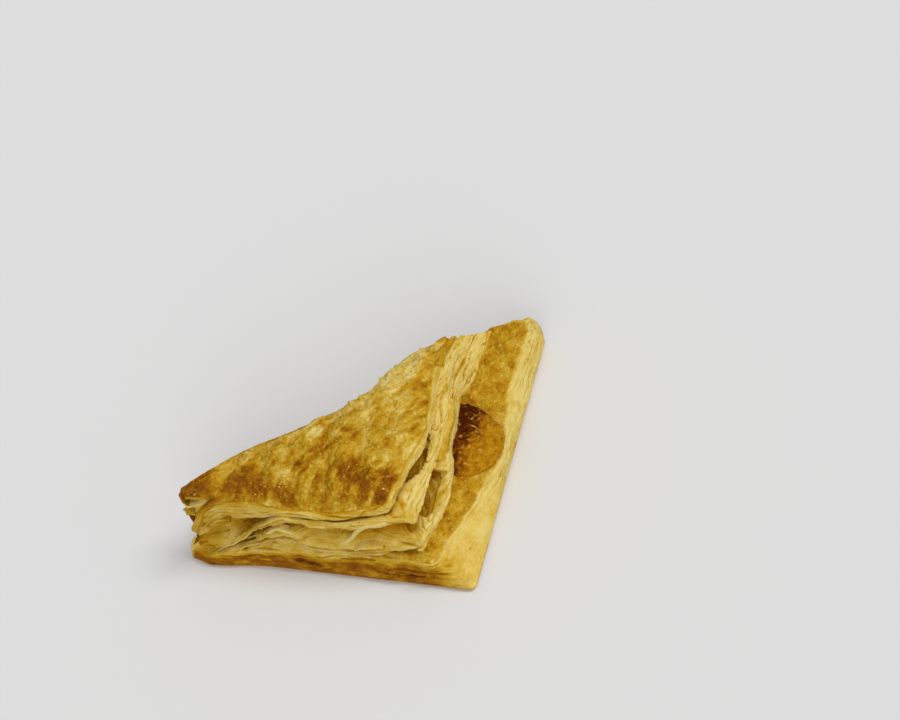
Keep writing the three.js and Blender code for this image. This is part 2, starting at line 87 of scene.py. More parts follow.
# left: from the left tip to the square corner; right: from there to the right tip;
# fold: place on the closed fold side, as a share of the fold's height.
LINES = {
    "lip_flank": {
        "left": knots(
            (115, 0, 3.2), (86, -0.3, 4.5), (35, 0, 4.5), (0, 0.8, 6),
        ),
        "right": knots(
            (0, 4, 6), (15, 2.5, 6.5), (29, 0.5, 6.5), (42, -0.9, 6.5), (80, -1, 6.5), (115, -0.6, 7),
        ),
        "fold": 0.13,
    },
    "lip_brim": {
        "left": knots(
            (115, 0.5, 5), (100, 1, 6.5), (90, 1.4, 7.8), (80, 1.5, 9.5), (68, 1.5, 10.2),
            (56, 1.8, 9.6), (44, 2.5, 9.8), (30, 3, 11), (17, 2.5, 12), (0, 2.5, 12.5),
        ),
        "right": knots(
            (0, 13.5, 11.5), (12, 11.6, 12), (21, 8.2, 12.5), (30, 5.2, 13), (40, 2.4, 13),
            (48, 0.6, 13), (57, 0.3, 13), (70, 2.5, 12.5), (84, 4, 12.5), (95, 3.2, 13.5),
            (115, 2.5, 15),
        ),
        "fold": 0.25,
    },
    "lip_shelf": {
        "left": knots(
            (115, 1.5, 5.3), (100, 2.5, 6.9), (90, 3.5, 8.4), (82, 4.5, 11.5), (72, 4.8, 14.5),
            (62, 3.6, 11.6), (50, 4.2, 11), (40, 4.4, 10.8), (28, 5.2, 13), (17, 5.5, 15), (0, 6, 15.5),
        ),
        "right": knots(
            (0, 19, 15.5), (12, 15.5, 16.5), (24, 13.5, 17.3), (36, 13.6, 17.5), (46, 15.5, 17.5),
            (57, 18, 17.5), (70, 18, 19), (80, 16.5, 23), (92, 13.3, 24), (115, 12.5, 24.5),
        ),
        "fold": 0.3,
    },
    "lower_cleft": {
        "left": knots(
            (115, 4.5, 5.7), (100, 6, 7.3), (90, 7, 9), (82, 9, 13), (74, 10, 17.5), (66, 8, 14),
            (56, 6.8, 12), (46, 7, 12.4), (38, 7, 11.2), (28, 8, 14), (17, 9.5, 16.5), (0, 9, 16.5),
        ),
        "right": knots(
            (0, 21.5, 16.6), (15, 17.5, 18), (29, 16, 18.3), (40, 17.5, 18.6), (50, 24, 18.8),
            (60, 26, 19.2), (70, 22, 21), (80, 18, 24), (92, 14.8, 25), (115, 14, 25.5),
        ),
        "fold": 0.33,
    },
    "lower_leaf_foot": {
        "left": knots(
            (115, 4.7, 6), (100, 6, 7.6), (90, 5.5, 9.4), (84, 3.2, 14), (79, 2.5, 16.5),
            (73, 2.5, 19.5), (69, 2.6, 19.5), (65, 2.8, 15.5), (60, 3, 13.5), (54, 3.2, 13.2),
            (48, 3.6, 14.6), (44, 4, 13.4), (38, 4.2, 12), (31, 4.6, 14.4), (24, 5.2, 16),
            (17, 6, 17.6), (0, 8, 18),
        ),
        "right": knots(
            (0, 20.5, 17.5), (15, 15.5, 19), (29, 13.8, 19.5), (40, 14.5, 19.5), (47, 17, 20),
            (57, 18.5, 20.5), (70, 19, 23), (80, 18, 25), (92, 15.2, 25.6), (115, 14.5, 26),
        ),
        "fold": 0.36,
    },
    "lower_leaf_brim": {
        "left": knots(
            (115, 4.8, 6.4), (100, 6.2, 8), (90, 5.5, 10), (84, 3, 16.5), (79, 2.6, 19.5),
            (73, 2.6, 23), (69, 2.7, 22.6), (65, 3, 19.2), (60, 3.2, 17), (54, 3.4, 16.4),
            (48, 4, 17.2), (43, 4.6, 16), (38, 5, 15), (31, 5.6, 17.2), (24, 6.2, 19), (17, 7, 20.4),
            (0, 9, 21.5),
        ),
        "right": knots(
            (0, 19.5, 21.5), (15, 16.5, 23), (29, 15.5, 24), (38, 15.2, 24.5), (46, 17, 25.5),
            (57, 17.8, 26.5), (66, 19, 28), (75, 20, 29), (84, 18.5, 28.5), (92, 17, 27.8),
            (115, 16, 27),
        ),
        "fold": 0.5,
    },
    "middle_cleft": {
        "left": knots(
            (115, 5, 6.8), (100, 6.5, 8.4), (90, 6.5, 10.4), (84, 7, 17), (78, 8, 21), (72, 9.5, 23.5),
            (66, 8.5, 23.5), (58, 7.5, 23), (50, 8.2, 24), (44, 8.5, 23.5), (37, 8.6, 22),
            (30, 9.5, 24), (17, 12, 25.5), (0, 14, 26),
        ),
        "right": knots(
            (0, 22, 24), (8, 22.5, 22), (16, 24, 21), (26, 25, 21.5), (33, 23.5, 23.5),
            (39, 19.5, 26.5), (46, 20, 27.5), (57, 21, 28), (70, 21.5, 29), (80, 20.5, 29.5),
            (92, 18.5, 29), (115, 17.5, 28.5),
        ),
        "fold": 0.53,
    },
    "upper_leaf_foot": {
        "left": knots(
            (115, 0.8, 7.1), (100, 1.2, 8.8), (90, 2.2, 11), (86, 2.8, 14), (82, 3.3, 18),
            (77, 3.8, 22), (72, 4.2, 25), (66, 4.4, 27), (58, 4.4, 26.2), (50, 4.6, 26.2),
            (44, 5.2, 25.6), (38, 5.6, 27), (31, 7, 28.2), (24, 9, 29.2), (17, 10.5, 29), (0, 12, 28),
        ),
        "right": knots(
            (0, 20.5, 28), (8, 20.5, 26.5), (16, 20.5, 26), (26, 20.3, 26.8), (34, 20, 27.5),
            (40, 18.5, 28), (50, 18.8, 29), (60, 19.2, 29.5), (70, 21, 30), (80, 21, 30.5),
            (92, 18.9, 29.6), (115, 18, 29),
        ),
        "fold": 0.56,
    },
    "upper_leaf_brim": {
        "left": knots(
            (115, 0.8, 9), (108, 1.5, 10.5), (100, 1.8, 11), (93, 2.5, 12.5), (88, 3, 16),
            (82, 3.6, 21.5), (77, 4, 25.5), (72, 4.4, 28.6), (66, 4.6, 30), (58, 4.8, 29.3),
            (50, 5, 29.3), (44, 5.6, 29.3), (38, 6.4, 30.8), (31, 8, 31.6), (24, 10, 32.2),
            (17, 12, 32.2), (0, 13, 31.5),
        ),
        "right": knots(
            (0, 24, 31.5), (15, 25.3, 31), (22, 24.5, 30.5), (30, 22.4, 30), (40, 20.8, 30.6),
            (48, 21, 32.6), (60, 22, 34), (70, 22, 35), (80, 22.5, 35), (92, 21, 32), (115, 20, 31.5),
        ),
        "fold": 0.7,
    },
    "upper_cleft": {
        "left": knots(
            (115, 2.5, 13), (108, 5, 13), (100, 11, 16.5), (94, 13, 19), (88, 12, 20.5), (82, 9, 24),
            (76, 6.5, 28), (70, 6, 30.3), (60, 6, 29.9), (50, 6.4, 29.9), (40, 8.4, 31.6),
            (30, 10.5, 32.6), (17, 15, 33.4), (0, 17, 32.5),
        ),
        "right": knots(
            (0, 28, 32.5), (15, 30, 32), (24, 31, 29.8), (34, 30, 29), (42, 27, 30), (50, 23.5, 33.6),
            (60, 25.3, 35), (70, 25.5, 36), (80, 26, 36), (92, 22.3, 33), (115, 21.5, 32.5),
        ),
        "fold": 0.73,
    },
    "crust_foot": {
        "left": knots(
            (115, 0, 14), (110, 0.6, 16), (104, 3.2, 22), (97, 4.4, 24.3), (88, 5.2, 24.8),
            (80, 5, 27), (73, 4.9, 29.8), (66, 5, 30.9), (58, 5.1, 30.5), (50, 5.7, 30.7),
            (44, 6.4, 31.5), (38, 7.4, 32.3), (31, 9, 33.3), (24, 11, 34.2), (17, 12, 34.2),
            (0, 13, 33.5),
        ),
        "right": knots(
            (0, 27.5, 33.8), (15, 28, 34.3), (26, 25.6, 35), (36, 22.8, 35.3), (46, 22.6, 35.6),
            (57, 24, 36), (70, 24.8, 36.8), (80, 24.5, 37), (92, 22.7, 33.6), (115, 22, 33),
        ),
        "fold": 0.76,
    },
    "crust_brim": {
        "left": knots(
            (115, -0.8, 41.5), (108, 1, 39.5), (101, 3, 37), (95, 4.8, 35), (88, 6, 34.6),
            (80, 6.2, 35.2), (74, 6.2, 34.2), (68, 6.4, 33.2), (60, 6.6, 33), (52, 7.1, 33.3),
            (45, 8, 34), (38, 9.4, 35.4), (31, 11.2, 37), (24, 13, 38.6), (17, 13.5, 38.6),
            (0, 14, 38.5),
        ),
        "right": knots(
            (0, 29.5, 38.5), (15, 28.8, 39), (29, 25.4, 39.7), (42, 22.8, 40), (57, 24.6, 40.3),
            (70, 26, 40.8), (80, 26, 40.5), (92, 25, 36.5), (115, 25, 35.5),
        ),
        "fold": 0.97,
    },
}
LINE_NAMES = list(LINES)
FIRST_LEAF = 2  # place of the first line above the lip
POCKET_DIP = 3  # how far the root of a cleft may lie below the leaf in front of it
LEFT_WAVE, RIGHT_WAVE = 0.3, 0.5  # unevenness of the edge lines on the cut sides

# ---- Small mathematics ----
def smoothstep(value, low, high):
    """0 at low and 1 at high, smooth in between. It falls where low is the larger one."""
    part = np.clip((value - low) / (high - low), 0, 1)
    return part * part * (3 - 2 * part)


def within(value, low, full_low, full_high, high):
    """1 between the two full values, falling smoothly to 0 at low and at high."""
    return smoothstep(value, low, full_low) * smoothstep(value, high, full_high)


def mix(a, b, part):
    return a + (b - a) * part


def bell(distance, width):
    """1 at no distance, falling to about a third at the width."""
    return np.exp(-((distance / width) ** 2))


def lattice(ix, iy, iz, seed):
    """Fixed scattered values between -1 and 1 at whole-numbered places."""
    mask = 0xFFFFFFFF
    h = (ix * 374761393 + iy * 668265263 + iz * 1440662683 + seed * 974634777) & mask
    h = ((h ^ (h >> 13)) * 1274126177) & mask
    return ((h ^ (h >> 16)) & 0xFFFF) / 32767.5 - 1


def noise(x, y, z=0.0, seed=0, size=1):
    """Smooth value noise between -1 and 1, with features this size apart."""
    x, y, z = np.broadcast_arrays(*(np.asarray(v, float) / size for v in (x, y, z)))
    ix, iy, iz = (np.floor(v).astype(np.int64) for v in (x, y, z))
    fx, fy, fz = (smoothstep(v - i, 0, 1) for v, i in ((x, ix), (y, iy), (z, iz)))
    total = 0
    for dx in (0, 1):
        for dy in (0, 1):
            for dz in (0, 1):
                weight = (fx if dx else 1 - fx) * (fy if dy else 1 - fy) * (fz if dz else 1 - fz)
                total = total + weight * lattice(ix + dx, iy + dy, iz + dz, seed)
    return total


def fractal(x, y, z=0.0, octaves=3, seed=0, size=1):
    """Sum of ever finer and weaker noise, with its largest features this size apart."""
    x, y, z = x / size, y / size, z / size
    total = 0
    for octave in range(octaves):
        finer = 2.03**octave
        total = total + noise(x * finer, y * finer, z * finer, seed + 11 * octave) / finer
    return total / 1.6


def hermite(start, end, slope_in, slope_out, part):
    """Cubic from start to end with these slopes, at a part of the way."""
    cubic = (2 * start - 2 * end + slope_in + slope_out) * part**3
    return cubic + (3 * end - 3 * start - 2 * slope_in - slope_out) * part**2 + slope_in * part + start


def curve_through(knots, value, place):
    """Catmull-Rom curve through one of the values of knots, by their distance along the side."""
    stations, values = knots[:, 0], knots[:, value]
    direction = np.sign(stations[-1] - stations[0])
    i = np.clip(np.searchsorted(direction * stations, direction * place) - 1, 0, len(stations) - 2)
    part = np.clip((place - stations[i]) / (stations[i + 1] - stations[i]), 0, 1)
    before = values[np.maximum(i - 1, 0)]
    after = values[np.minimum(i + 2, len(values) - 1)]
    start, end = values[i], values[i + 1]
    return hermite(start, end, (end - before) / 2, (after - start) / 2, part)


def wave(place, seed):
    """Slow unevenness of an edge line along a cut side."""
    return (0.5 * np.sin(0.15 * place + 2.1 * seed) + 0.4 * np.sin(0.31 * place + 5.3 * seed)
            + 0.3 * np.sin(0.56 * place + 1.7 * seed))


# ---- Plan and columns ----
def to_plan(left, right):
    return (right - left) / math.sqrt(2), (right + left - CUT_SIDE / 2) / math.sqrt(2)


def from_plan(x, y):
    total = y * math.sqrt(2) + CUT_SIDE / 2
    across = x * math.sqrt(2)
    return (total - across) / 2, (total + across) / 2


FOLD_LENGTH = CUT_SIDE * math.sqrt(2)
LOOP = 2 * CUT_SIDE + FOLD_LENGTH


def fold_distance(left, right):
    """Distance of plan positions from the straight fold, positive inside."""
    return (CUT_SIDE - left - right) / math.sqrt(2)


def outline_point(distance):
    """Plan position on the sharp outline, from the left tip past the square corner."""
    on_left = np.stack([CUT_SIDE - distance, 0 * distance], -1)
    on_right = np.stack([0 * distance, distance - CUT_SIDE], -1)
    back = (distance - 2 * CUT_SIDE) / FOLD_LENGTH * CUT_SIDE
    on_fold = np.stack([back, CUT_SIDE - back], -1)
    first = np.where((distance < CUT_SIDE)[:, None], on_left, on_right)
    return np.where((distance > 2 * CUT_SIDE)[:, None], on_fold, first)


def steps_at(distance):
    """Steps from the hub to the sharp outline, one for each column of a mesh."""
    return outline_point(np.mod(distance, LOOP)) - np.array(HUB)


def fold_place(steps):
    """Left distance at which columns with these steps meet the sharp fold line."""
    reach = CUT_SIDE - HUB[0] - HUB[1]
    return HUB[0] + steps[..., 0] * reach / np.maximum(steps[..., 0] + steps[..., 1], 1e-6)


def near_fold(left, right):
    """1 at the fold, where the leaves run together, falling to 0 at FOLD_MERGE from it."""
    return smoothstep(fold_distance(left, right), FOLD_MERGE, 0)


def shoulder_inset(place):
    """How far the top of the fold stays inside its foot."""
    return FOLD_SHOULDER * smoothstep(place, 0, SHOULDER_RUN)


def leaf_end(index):
    """The fold place of the column in which an edge line runs into the fold's shoulder."""
    right = LINES[LINE_NAMES[index]]["right"]
    end = found = float(right[-1, 1])
    for _ in range(12):
        shoulder = CUT_SIDE - shoulder_inset(found) * math.sqrt(2)
        end = float(curve_through(right, 1, shoulder - end))
        found = float(fold_place(np.array((end - HUB[0], shoulder - end - HUB[1]))))
    return found


def side_values(name, fold=None):
    """Insets and heights of an edge line on the three sides, as functions of the place."""
    data = LINES[name]
    index = LINE_NAMES.index(name)
    last_end = max(leaf_end(i) for i in (index, min(index + 1, len(LINE_NAMES) - 1)))
    fold = data["fold"] if fold is None else fold

    def left_side(left, right, steps):
        inset = curve_through(data["left"], 1, left) + LEFT_WAVE * wave(left, index)
        height = curve_through(data["left"], 2, left) + LEFT_WAVE * wave(left, index + 7)
        return inset, height

    def right_side(left, right, steps):
        merged = near_fold(left, right)
        inset = curve_through(data["right"], 1, right) + RIGHT_WAVE * wave(right, index + 3) * (1 - merged)
        height = curve_through(data["right"], 2, right) + RIGHT_WAVE * wave(right, index + 5)
        if index >= FIRST_LEAF:
            height = mix(height, curve_through(FOLD_SHOULDERS, 1, left), merged)
        return inset, height

    def fold_side(left, right, steps):
        at = fold_place(steps)
        share = mix(1, fold, smoothstep(at, last_end, last_end + LEAF_END_RUN))
        ends = np.sin(math.pi * np.clip(at / CUT_SIDE, 0, 1)) ** 0.4
        inset = shoulder_inset(at) * share**4 - FOLD_BULGE * np.sin(math.pi * share) * ends
        inset = inset + data["left"][0, 1] * smoothstep(at, CUT_SIDE - TIP_CLEFT_RUN, CUT_SIDE)
        return inset, share * curve_through(FOLD_SHOULDERS, 1, left)

    return left_side, right_side, fold_side


def crossing(steps, sides):
    """Where a line with these sides crosses each column: share of the way out, and height."""
    reaches = (HUB[1], HUB[0], FOLD_REACH)
    slopes = (-steps[:, 1], -steps[:, 0], (steps[:, 0] + steps[:, 1]) / math.sqrt(2))
    to_leaf_ends = (steps[:, 0] < 0) & (steps[:, 1] > 0)
    sharpness = np.where(to_leaf_ends, LEAF_END_SHARPNESS, CORNER_SHARPNESS)
    total, heights = 0, 0
    for side, reach, slope in zip(sides, reaches, slopes):
        safe = np.maximum(slope, 1e-3)
        share = np.ones(len(steps))
        for _ in range(4):
            position = np.array(HUB) + steps * share[:, None]
            inset, _height = side(position[:, 0], position[:, 1], steps)
            share = np.clip((reach - inset) / safe, 0.05, 1.6)
        position = np.array(HUB) + steps * share[:, None]
        _inset, height = side(position[:, 0], position[:, 1], steps)
        weight = np.where(slope > 1e-3, share ** (-1.0 * sharpness), 0)
        total = total + weight
        heights = heights + weight * height
    return total ** (-1 / sharpness), heights / total


def flat_sides(inset, height):
    def side(left, right, steps):
        return inset + 0 * left, height + 0 * left

    return side, side, side


def lean_tip(x, y, heights):
    """Points at plan positions and heights, with the left tip's upper leaves leaning in."""
    left, right = from_plan(x, y)
    from_tip = np.hypot(left - CUT_SIDE, right)
    lean = bell(from_tip, TIP_REACH) * (TIP_SETBACK * smoothstep(heights, 7, 13) + TIP_LEAN * heights)
    trim = smoothstep(heights, 6, 14) * (1 - 0.85 * smoothstep(heights, 34, 39))
    lean = lean + TIP_TRIM * bell(from_tip, TIP_TRIM_REACH) * trim
    lean = lean + TIP_HOLLOW * bell(from_tip, TIP_HOLLOW_REACH) * within(heights, 9, 14, 31, 35)
    reach = np.where(left < LIP_BULGE_PLACE, *LIP_BULGE_REACH)
    bulge = LIP_BULGE * bell(left - LIP_BULGE_PLACE, reach) * bell(right, LIP_BULGE_REACH[1])
    bulge = bulge * (1 - smoothstep(heights, 6, 12)) / math.sqrt(2)
    return np.stack([x + lean - bulge, y - bulge, heights], -1)


def place_points(steps, shares, heights):
    """Points in mm for columns at shares of the way out, with the left tip's lean."""
    left = HUB[0] + steps[..., 0] * shares
    right = HUB[1] + steps[..., 1] * shares
    return lean_tip(*to_plan(left, right), heights)


def blister(x, y):
    """Broad swells of the upper flap, in mm."""
    return (0.9 * np.sin(0.23 * x + 0.9) * np.sin(0.27 * y + 0.4)
            + 0.7 * np.sin(0.41 * x - 0.33 * y) + 0.5 * np.sin(0.62 * y + 0.48 * x + 2))


# ---- Mesh building ----
def evened(values, reach):
    """Moving average round the loop."""
    if reach < 1:
        return values
    kernel = np.ones(2 * reach + 1) / (2 * reach + 1)
    padded = np.concatenate([values[-reach:], values, values[:reach]])
    return np.convolve(padded, kernel, "valid")


def grid_faces(rows, columns, wrap_rows=False, wrap_columns=True):
    """Quads of a grid of points, row by row, pointing out where columns run anticlockwise
    seen from above and rows run upwards."""
    r = np.arange(rows if wrap_rows else rows - 1)
    c = np.arange(columns if wrap_columns else columns - 1)
    r, c = np.meshgrid(r, c, indexing="ij")
    r, c = r.ravel(), c.ravel()
    r1, c1 = (r + 1) % rows, (c + 1) % columns
    return np.stack([r * columns + c, r * columns + c1, r1 * columns + c1, r1 * columns + c], -1)


def make_mesh(name, points, quads, triangles=None, attributes=None, smooth=True):
    """Mesh object from points in mm, with float attributes on its points."""
    moved = points + np.array([ORIGIN_SHIFT[0], ORIGIN_SHIFT[1], 0])
    faces = quads.tolist() + ([] if triangles is None else triangles.tolist())
    mesh = bpy.data.meshes.new(name)
    mesh.from_pydata((moved * MM).tolist(), [], faces)
    for key, values in (attributes or {}).items():
        layer = mesh.attributes.new(key, "FLOAT", "POINT")
        layer.data.foreach_set("value", np.asarray(values, np.float32))
    mesh.polygons.foreach_set("use_smooth", np.full(len(mesh.polygons), smooth))
    mesh.update()
    piece = bpy.data.objects.new(name, mesh)
    bpy.context.collection.objects.link(piece)
    return piece


def lofted(name, rings, low_pole, high_pole, attributes):
    """Closed body from rings of points (rows, columns, 3) with a pole at each end."""
    rows, columns = rings.shape[:2]
    points = np.concatenate([rings.reshape(-1, 3), [low_pole, high_pole]])
    c = np.arange(columns)
    low, high = rows * columns, rows * columns + 1
    bottom = np.stack([np.full(columns, low), (c + 1) % columns, c], -1)
    top_row = (rows - 1) * columns
    top = np.stack([top_row + c, top_row + (c + 1) % columns, np.full(columns, high)], -1)
    values = {k: np.concatenate([v.ravel(), [v[0].mean(), v[-1].mean()]]) for k, v in attributes.items()}
    return make_mesh(name, points, grid_faces(rows, columns), np.concatenate([bottom, top]), values)


def close_ends(piece, caps):
    """Adds the end faces of a strip and turns every face out."""
    mesh = bmesh.new()
    mesh.from_mesh(piece.data)
    mesh.verts.ensure_lookup_table()
    for cap in caps:
        face = mesh.faces.new([mesh.verts[i] for i in cap])
        for edge in face.edges:
            edge.smooth = False
    bmesh.ops.recalc_face_normals(mesh, faces=mesh.faces)
    mesh.to_mesh(piece.data)
    mesh.free()
    piece.data.polygons.foreach_set("use_smooth", np.ones(len(piece.data.polygons), bool))


def closed_strip(name, points, attributes):
    """Closed body from points (rows, columns, 3) whose rows run round its section."""
    rows, columns = points.shape[:2]
    quads = grid_faces(rows, columns, wrap_rows=True, wrap_columns=False)
    first = np.arange(rows) * columns
    piece = make_mesh(name, points.reshape(-1, 3), quads, None, attributes)
    close_ends(piece, [first[::-1].tolist(), (first + columns - 1).tolist()])
    return piece


def between(knots, counts):
    """Catmull-Rom through rows of knots (rows, columns), with a count of steps per interval."""
    rows = []
    last = len(knots) - 1
    for i, count in enumerate(counts):
        before, start = knots[max(i - 1, 0)], knots[i]
        end, after = knots[i + 1], knots[min(i + 2, last)]
        for k in range(count):
            rows.append(hermite(start, end, (end - before) / 2, (after - start) / 2, k / count))
    rows.append(knots[-1])
    return np.array(rows)


# ---- Where the crust is browned ----
# left, right, radius along left, radius along right, strength
BROWN_SPOTS = (
    (38, 15, 11, 6, 0.42), (30, 18, 5, 7, 0.26), (68, 10, 5, 3, 0.42), (82, 11, 8, 3.5, 0.4),
    (96, 9, 6, 4, 0.36), (106, 7, 7, 6, 0.46), (98, 13, 8, 4, 0.24), (64, 19, 5, 4, 0.16),
    (56, 27, 9, 4, 0.18), (48, 33, 9, 5, 0.16), (27, 72, 3, 12, 0.18), (45, 19, 8, 5, 0.16),
    (26, 55, 3, 10, 0.14),
)
PALE_SPOTS = (
    (58, 51, 12, 9, 0.2), (43, 60, 10, 10, 0.2), (78, 30, 8, 7, 0.1), (35, 72, 8, 12, 0.12),
)
CRUST_TOAST, MOST_TOASTED = 0.29, 0.73  # browning of the plain crust, and the most there is


def soft_spots(table, left, right):
    """Sum of soft spots at plan positions, from rows like those of BROWN_SPOTS."""
    total = 0
    for at_left, at_right, left_radius, right_radius, strength in table:
        away = np.hypot((left - at_left) / left_radius, (right - at_right) / right_radius)
        total = total + strength * bell(away, 1)
    return total


def crust_toast(left, right):
    """Browning of the upper flap at plan positions."""
    x, y = to_plan(left, right)
    along, aside = along_creases(x, y)
    patches = fractal(left, right, size=5.5, octaves=4, seed=3)
    streaks = fractal(along / 6.5, aside / 1.8, octaves=3, seed=7)
    uneven = 1.15 + 0.92 * fractal(left, right, size=2.5, seed=5)
    toast = CRUST_TOAST + 0.16 * patches + 0.24 * streaks + 0.07 * crust_creases(x, y)
    toast = toast + uneven * soft_spots(BROWN_SPOTS, left, right)
    return np.minimum(toast - soft_spots(PALE_SPOTS, left, right), MOST_TOASTED)


def ridge_mask(left, right):
    """1 in the pale strip between the crust's ridge and the fold, on the left half."""
    edge = 8.5 + 1.2 * noise(left / 9, 0.3, seed=8)
    return smoothstep(fold_distance(left, right), edge + 1, edge - 1) * smoothstep(left, 54, 64)


# ---- Pieces of pastry ----
BODY_COLUMNS = 900
# Rows of the mesh between one line and the next, from the base up.
BODY_STEPS = (1, 1, 3, 6, 8, 4, 3, 6, 4, 3, 5, 4, 3, 5)
EDGE_STEPS = (10, 26, 26, 8, 8, 24, 14, 10, 18, 12, 8)
BASE_LINES = ((22, 0), (1.8, 0), (-0.4, 1.44))  # inset, height
BEVEL_ROW, LIP_BRIM_ROW, LIP_SHELF_ROW = 2, 4, 5
CLEFT_ROWS, LEAF_BRIM_ROWS = (6, 9, 12), (8, 11)
CLEFT_RECESS = (2.0, 0.8)  # how much deeper the clefts are cut on the left and right sides
CORE_DEPTH = 1.5  # how far the body stays behind the deepest cleft of the leafy edges over it
CORE_DROP = 1.2  # and how much lower it lies
UNDER_CRUST_ROWS = (13, 14)  # rows between which the fold goes in under the crust
UNDER_CRUST_DROP = 2.2
BEFORE_TIP = 20  # within this distance of the left tip, places on the fold count as negative
# Leafy edges: distances round the outline from the left tip, number of columns.
EDGES = {"left_leaves": (-14, 77, 440), "right_leaves": (77, 262, 560)}
END_FADE = 6
TIP_BLEND, CORNER_BLEND, FOLD_BLEND = 3, 4, 2  # over what distance one side gives way to the next


def line_rings(steps):
    """Shares and heights of the edge lines at columns, from the bevel up. Each lies at least
    a little above the last, but the root of a cleft may dip below the leaf in front of it."""
    base = [crossing(steps, flat_sides(*pair)) for pair in BASE_LINES]
    shares, heights = [b[0] for b in base], [b[1] for b in base]
    highest = heights[-1]
    for name in LINE_NAMES:
        share, height = crossing(steps, side_values(name))
        least = -POCKET_DIP if name.endswith("cleft") else LEAST_STEP
        height = np.maximum(height, highest + least)
        highest = np.maximum(highest, height)
        shares.append(share)
        heights.append(height)
    return np.array(shares), np.array(heights)


def row_numbers(counts, first=0):
    """Numbers of mesh rows, which are whole at the edge lines."""
    numbers = [first + i + np.arange(n) / n for i, n in enumerate(counts)]
    return np.concatenate(numbers + [[first + len(counts)]])


def near_rows(row, places, width):
    """1 at each of these rows, falling off on both sides."""
    return sum(bell(row - at, width) for at in places)


def surface_normals(points, closed):
    """Unit normals of grid points (rows, columns, 3)."""
    if closed:
        along = np.roll(points, -1, 1) - np.roll(points, 1, 1)
    else:
        along = np.gradient(points, axis=1)
    normal = np.cross(along, np.gradient(points, axis=0))
    return normal / np.maximum(np.linalg.norm(normal, axis=-1, keepdims=True), 1e-6)


def push_out(points, amount, closed=True):
    """Grid points moved out along their normals."""
    return points + surface_normals(points, closed) * amount[..., None]


def side_masks(distance):
    """Weights of the left cut side, right cut side and fold at distances round the loop."""
    corner = CUT_SIDE - CORNER_BLEND, CUT_SIDE + CORNER_BLEND
    left = within(distance, 0, TIP_BLEND, *corner)
    right = within(distance, *corner, 2 * CUT_SIDE - FOLD_BLEND, 2 * CUT_SIDE + FOLD_BLEND)
    return left, right, np.clip(1 - left - right, 0, 1)


def leafy_part(distance):
    """1 where the leafy edges cover the body, falling to 0 at their ends on the fold."""
    first, last = EDGES["left_leaves"][0], EDGES["right_leaves"][1]
    return within(distance, first, first + END_FADE, last - END_FADE, last)


def layering(place, level, pitch, seed):
    """Stand-out of thin stacked layers along a cut edge, and the grooves between them."""
    warp = 0.8 * noise(place / 19, level / 5, seed=seed) + 0.3 * noise(place / 5.5, level / 3, seed=seed + 1)
    stack = level / pitch + warp
    layer = np.floor(stack)
    part = stack - layer

    def stand_out(index):
        return (0.3 * noise(place / 8, index * 7.31, seed=seed + 2)
                + 0.16 * noise(place / 2.3, index * 3.7, seed=seed + 3)
                + 0.1 * noise(place / 0.8, index * 5.9, seed=seed + 4))

    out = mix(stand_out(layer), stand_out(layer + 1), smoothstep(part, 0.72, 1))
    gap = np.minimum(part, 1 - part)
    opened = 0.1 + 0.9 * smoothstep(noise(place / 8, np.round(stack) * 5.3, seed=seed + 5), -0.15, 0.5)
    return out, opened * (1 - smoothstep(gap, 0, 0.2))


# Layers of the left and of the right cut side: pitch, depth of the grooves, seed.
LEAF_LAYERS = ((2.3, 0.7, 101), (1.05, 0.45, 111))
FLAP_LAYERS = ((2.2, 0.5, 121), (1.2, 0.4, 131))


def layers_of_sides(place, level, looks, on_left):
    """Relief of the thin layers in mm and the grooves between them, on both cut sides."""
    sides = []
    for pitch, groove_depth, seed in looks:
        out, gap = layering(place, level, pitch, seed)
        sides.append((out - groove_depth * gap, gap))
    return (mix(right, left, on_left) for left, right in zip(*sides))


# Dark openings between the leaves. From and to: distance round the outline from the left
# tip, and height; then half width, depth and darkening, which is mostly painted shade.
OPENINGS = (
    ((46, 24.3), (73, 26), 0.8, 2, 0.42),
    ((34, 18.6), (46, 17), 0.5, 1, 0.3), ((44, 7.4), (56, 5.4), 1.5, 0.3, 0.16),
    ((84, 4.5), (97, 5.5), 0.5, 0.5, 0.2), ((63, 9.4), (78, 9.8), 0.5, 0.6, 0.3),
    ((-12, 12), (4, 12.8), 1.1, 2.6, 0.2),
    ((129, 33), (157, 32.6), 2.2, 2.4, 0.34),
    ((121, 21.6), (151, 24.6), 2.1, 3.4, 0.2),
    ((215, 25.2), (229, 28.4), 0.8, 3, 0.4), ((157, 29.8), (200, 33.4), 0.5, 1.4, 0.2),
    ((204, 33), (216, 34.6), 0.5, 1.2, 0.3), ((226, 31), (240, 32), 0.5, 1.2, 0.3),
)


# Fold of the flap beside the left tip, behind which the leaves lie deeper and are darkened
# with painted shade: height, distance round the outline.
TIP_FOLD = np.array(((9, -3), (14, 0.2), (22, 2.2), (29, 6.2), (35, 10.6), (39, 14), (42, 17)))
TIP_FOLD_DEPTH = 1.8
# Inner edge of the sheet in front of the pocket under the crust: right, left, in plan.
POCKET_EDGE = np.array((
    (24, 29), (25.6, 27.1), (28, 25.4), (30, 24), (32, 23.3), (35.5, 22.7), (38.7, 22.7), (41.4, 23.6),
    (44, 27),
))
POCKET_DEPTH = 2.2
# Lower edge of the flap over the hollow in the left cut side: left, height.
FLAP_EDGE = np.array(((104, 17), (99, 18.4), (93, 18.8), (88.5, 19.6), (84, 21.6)))
FLAP_HOLLOW_DEPTH = 2.4


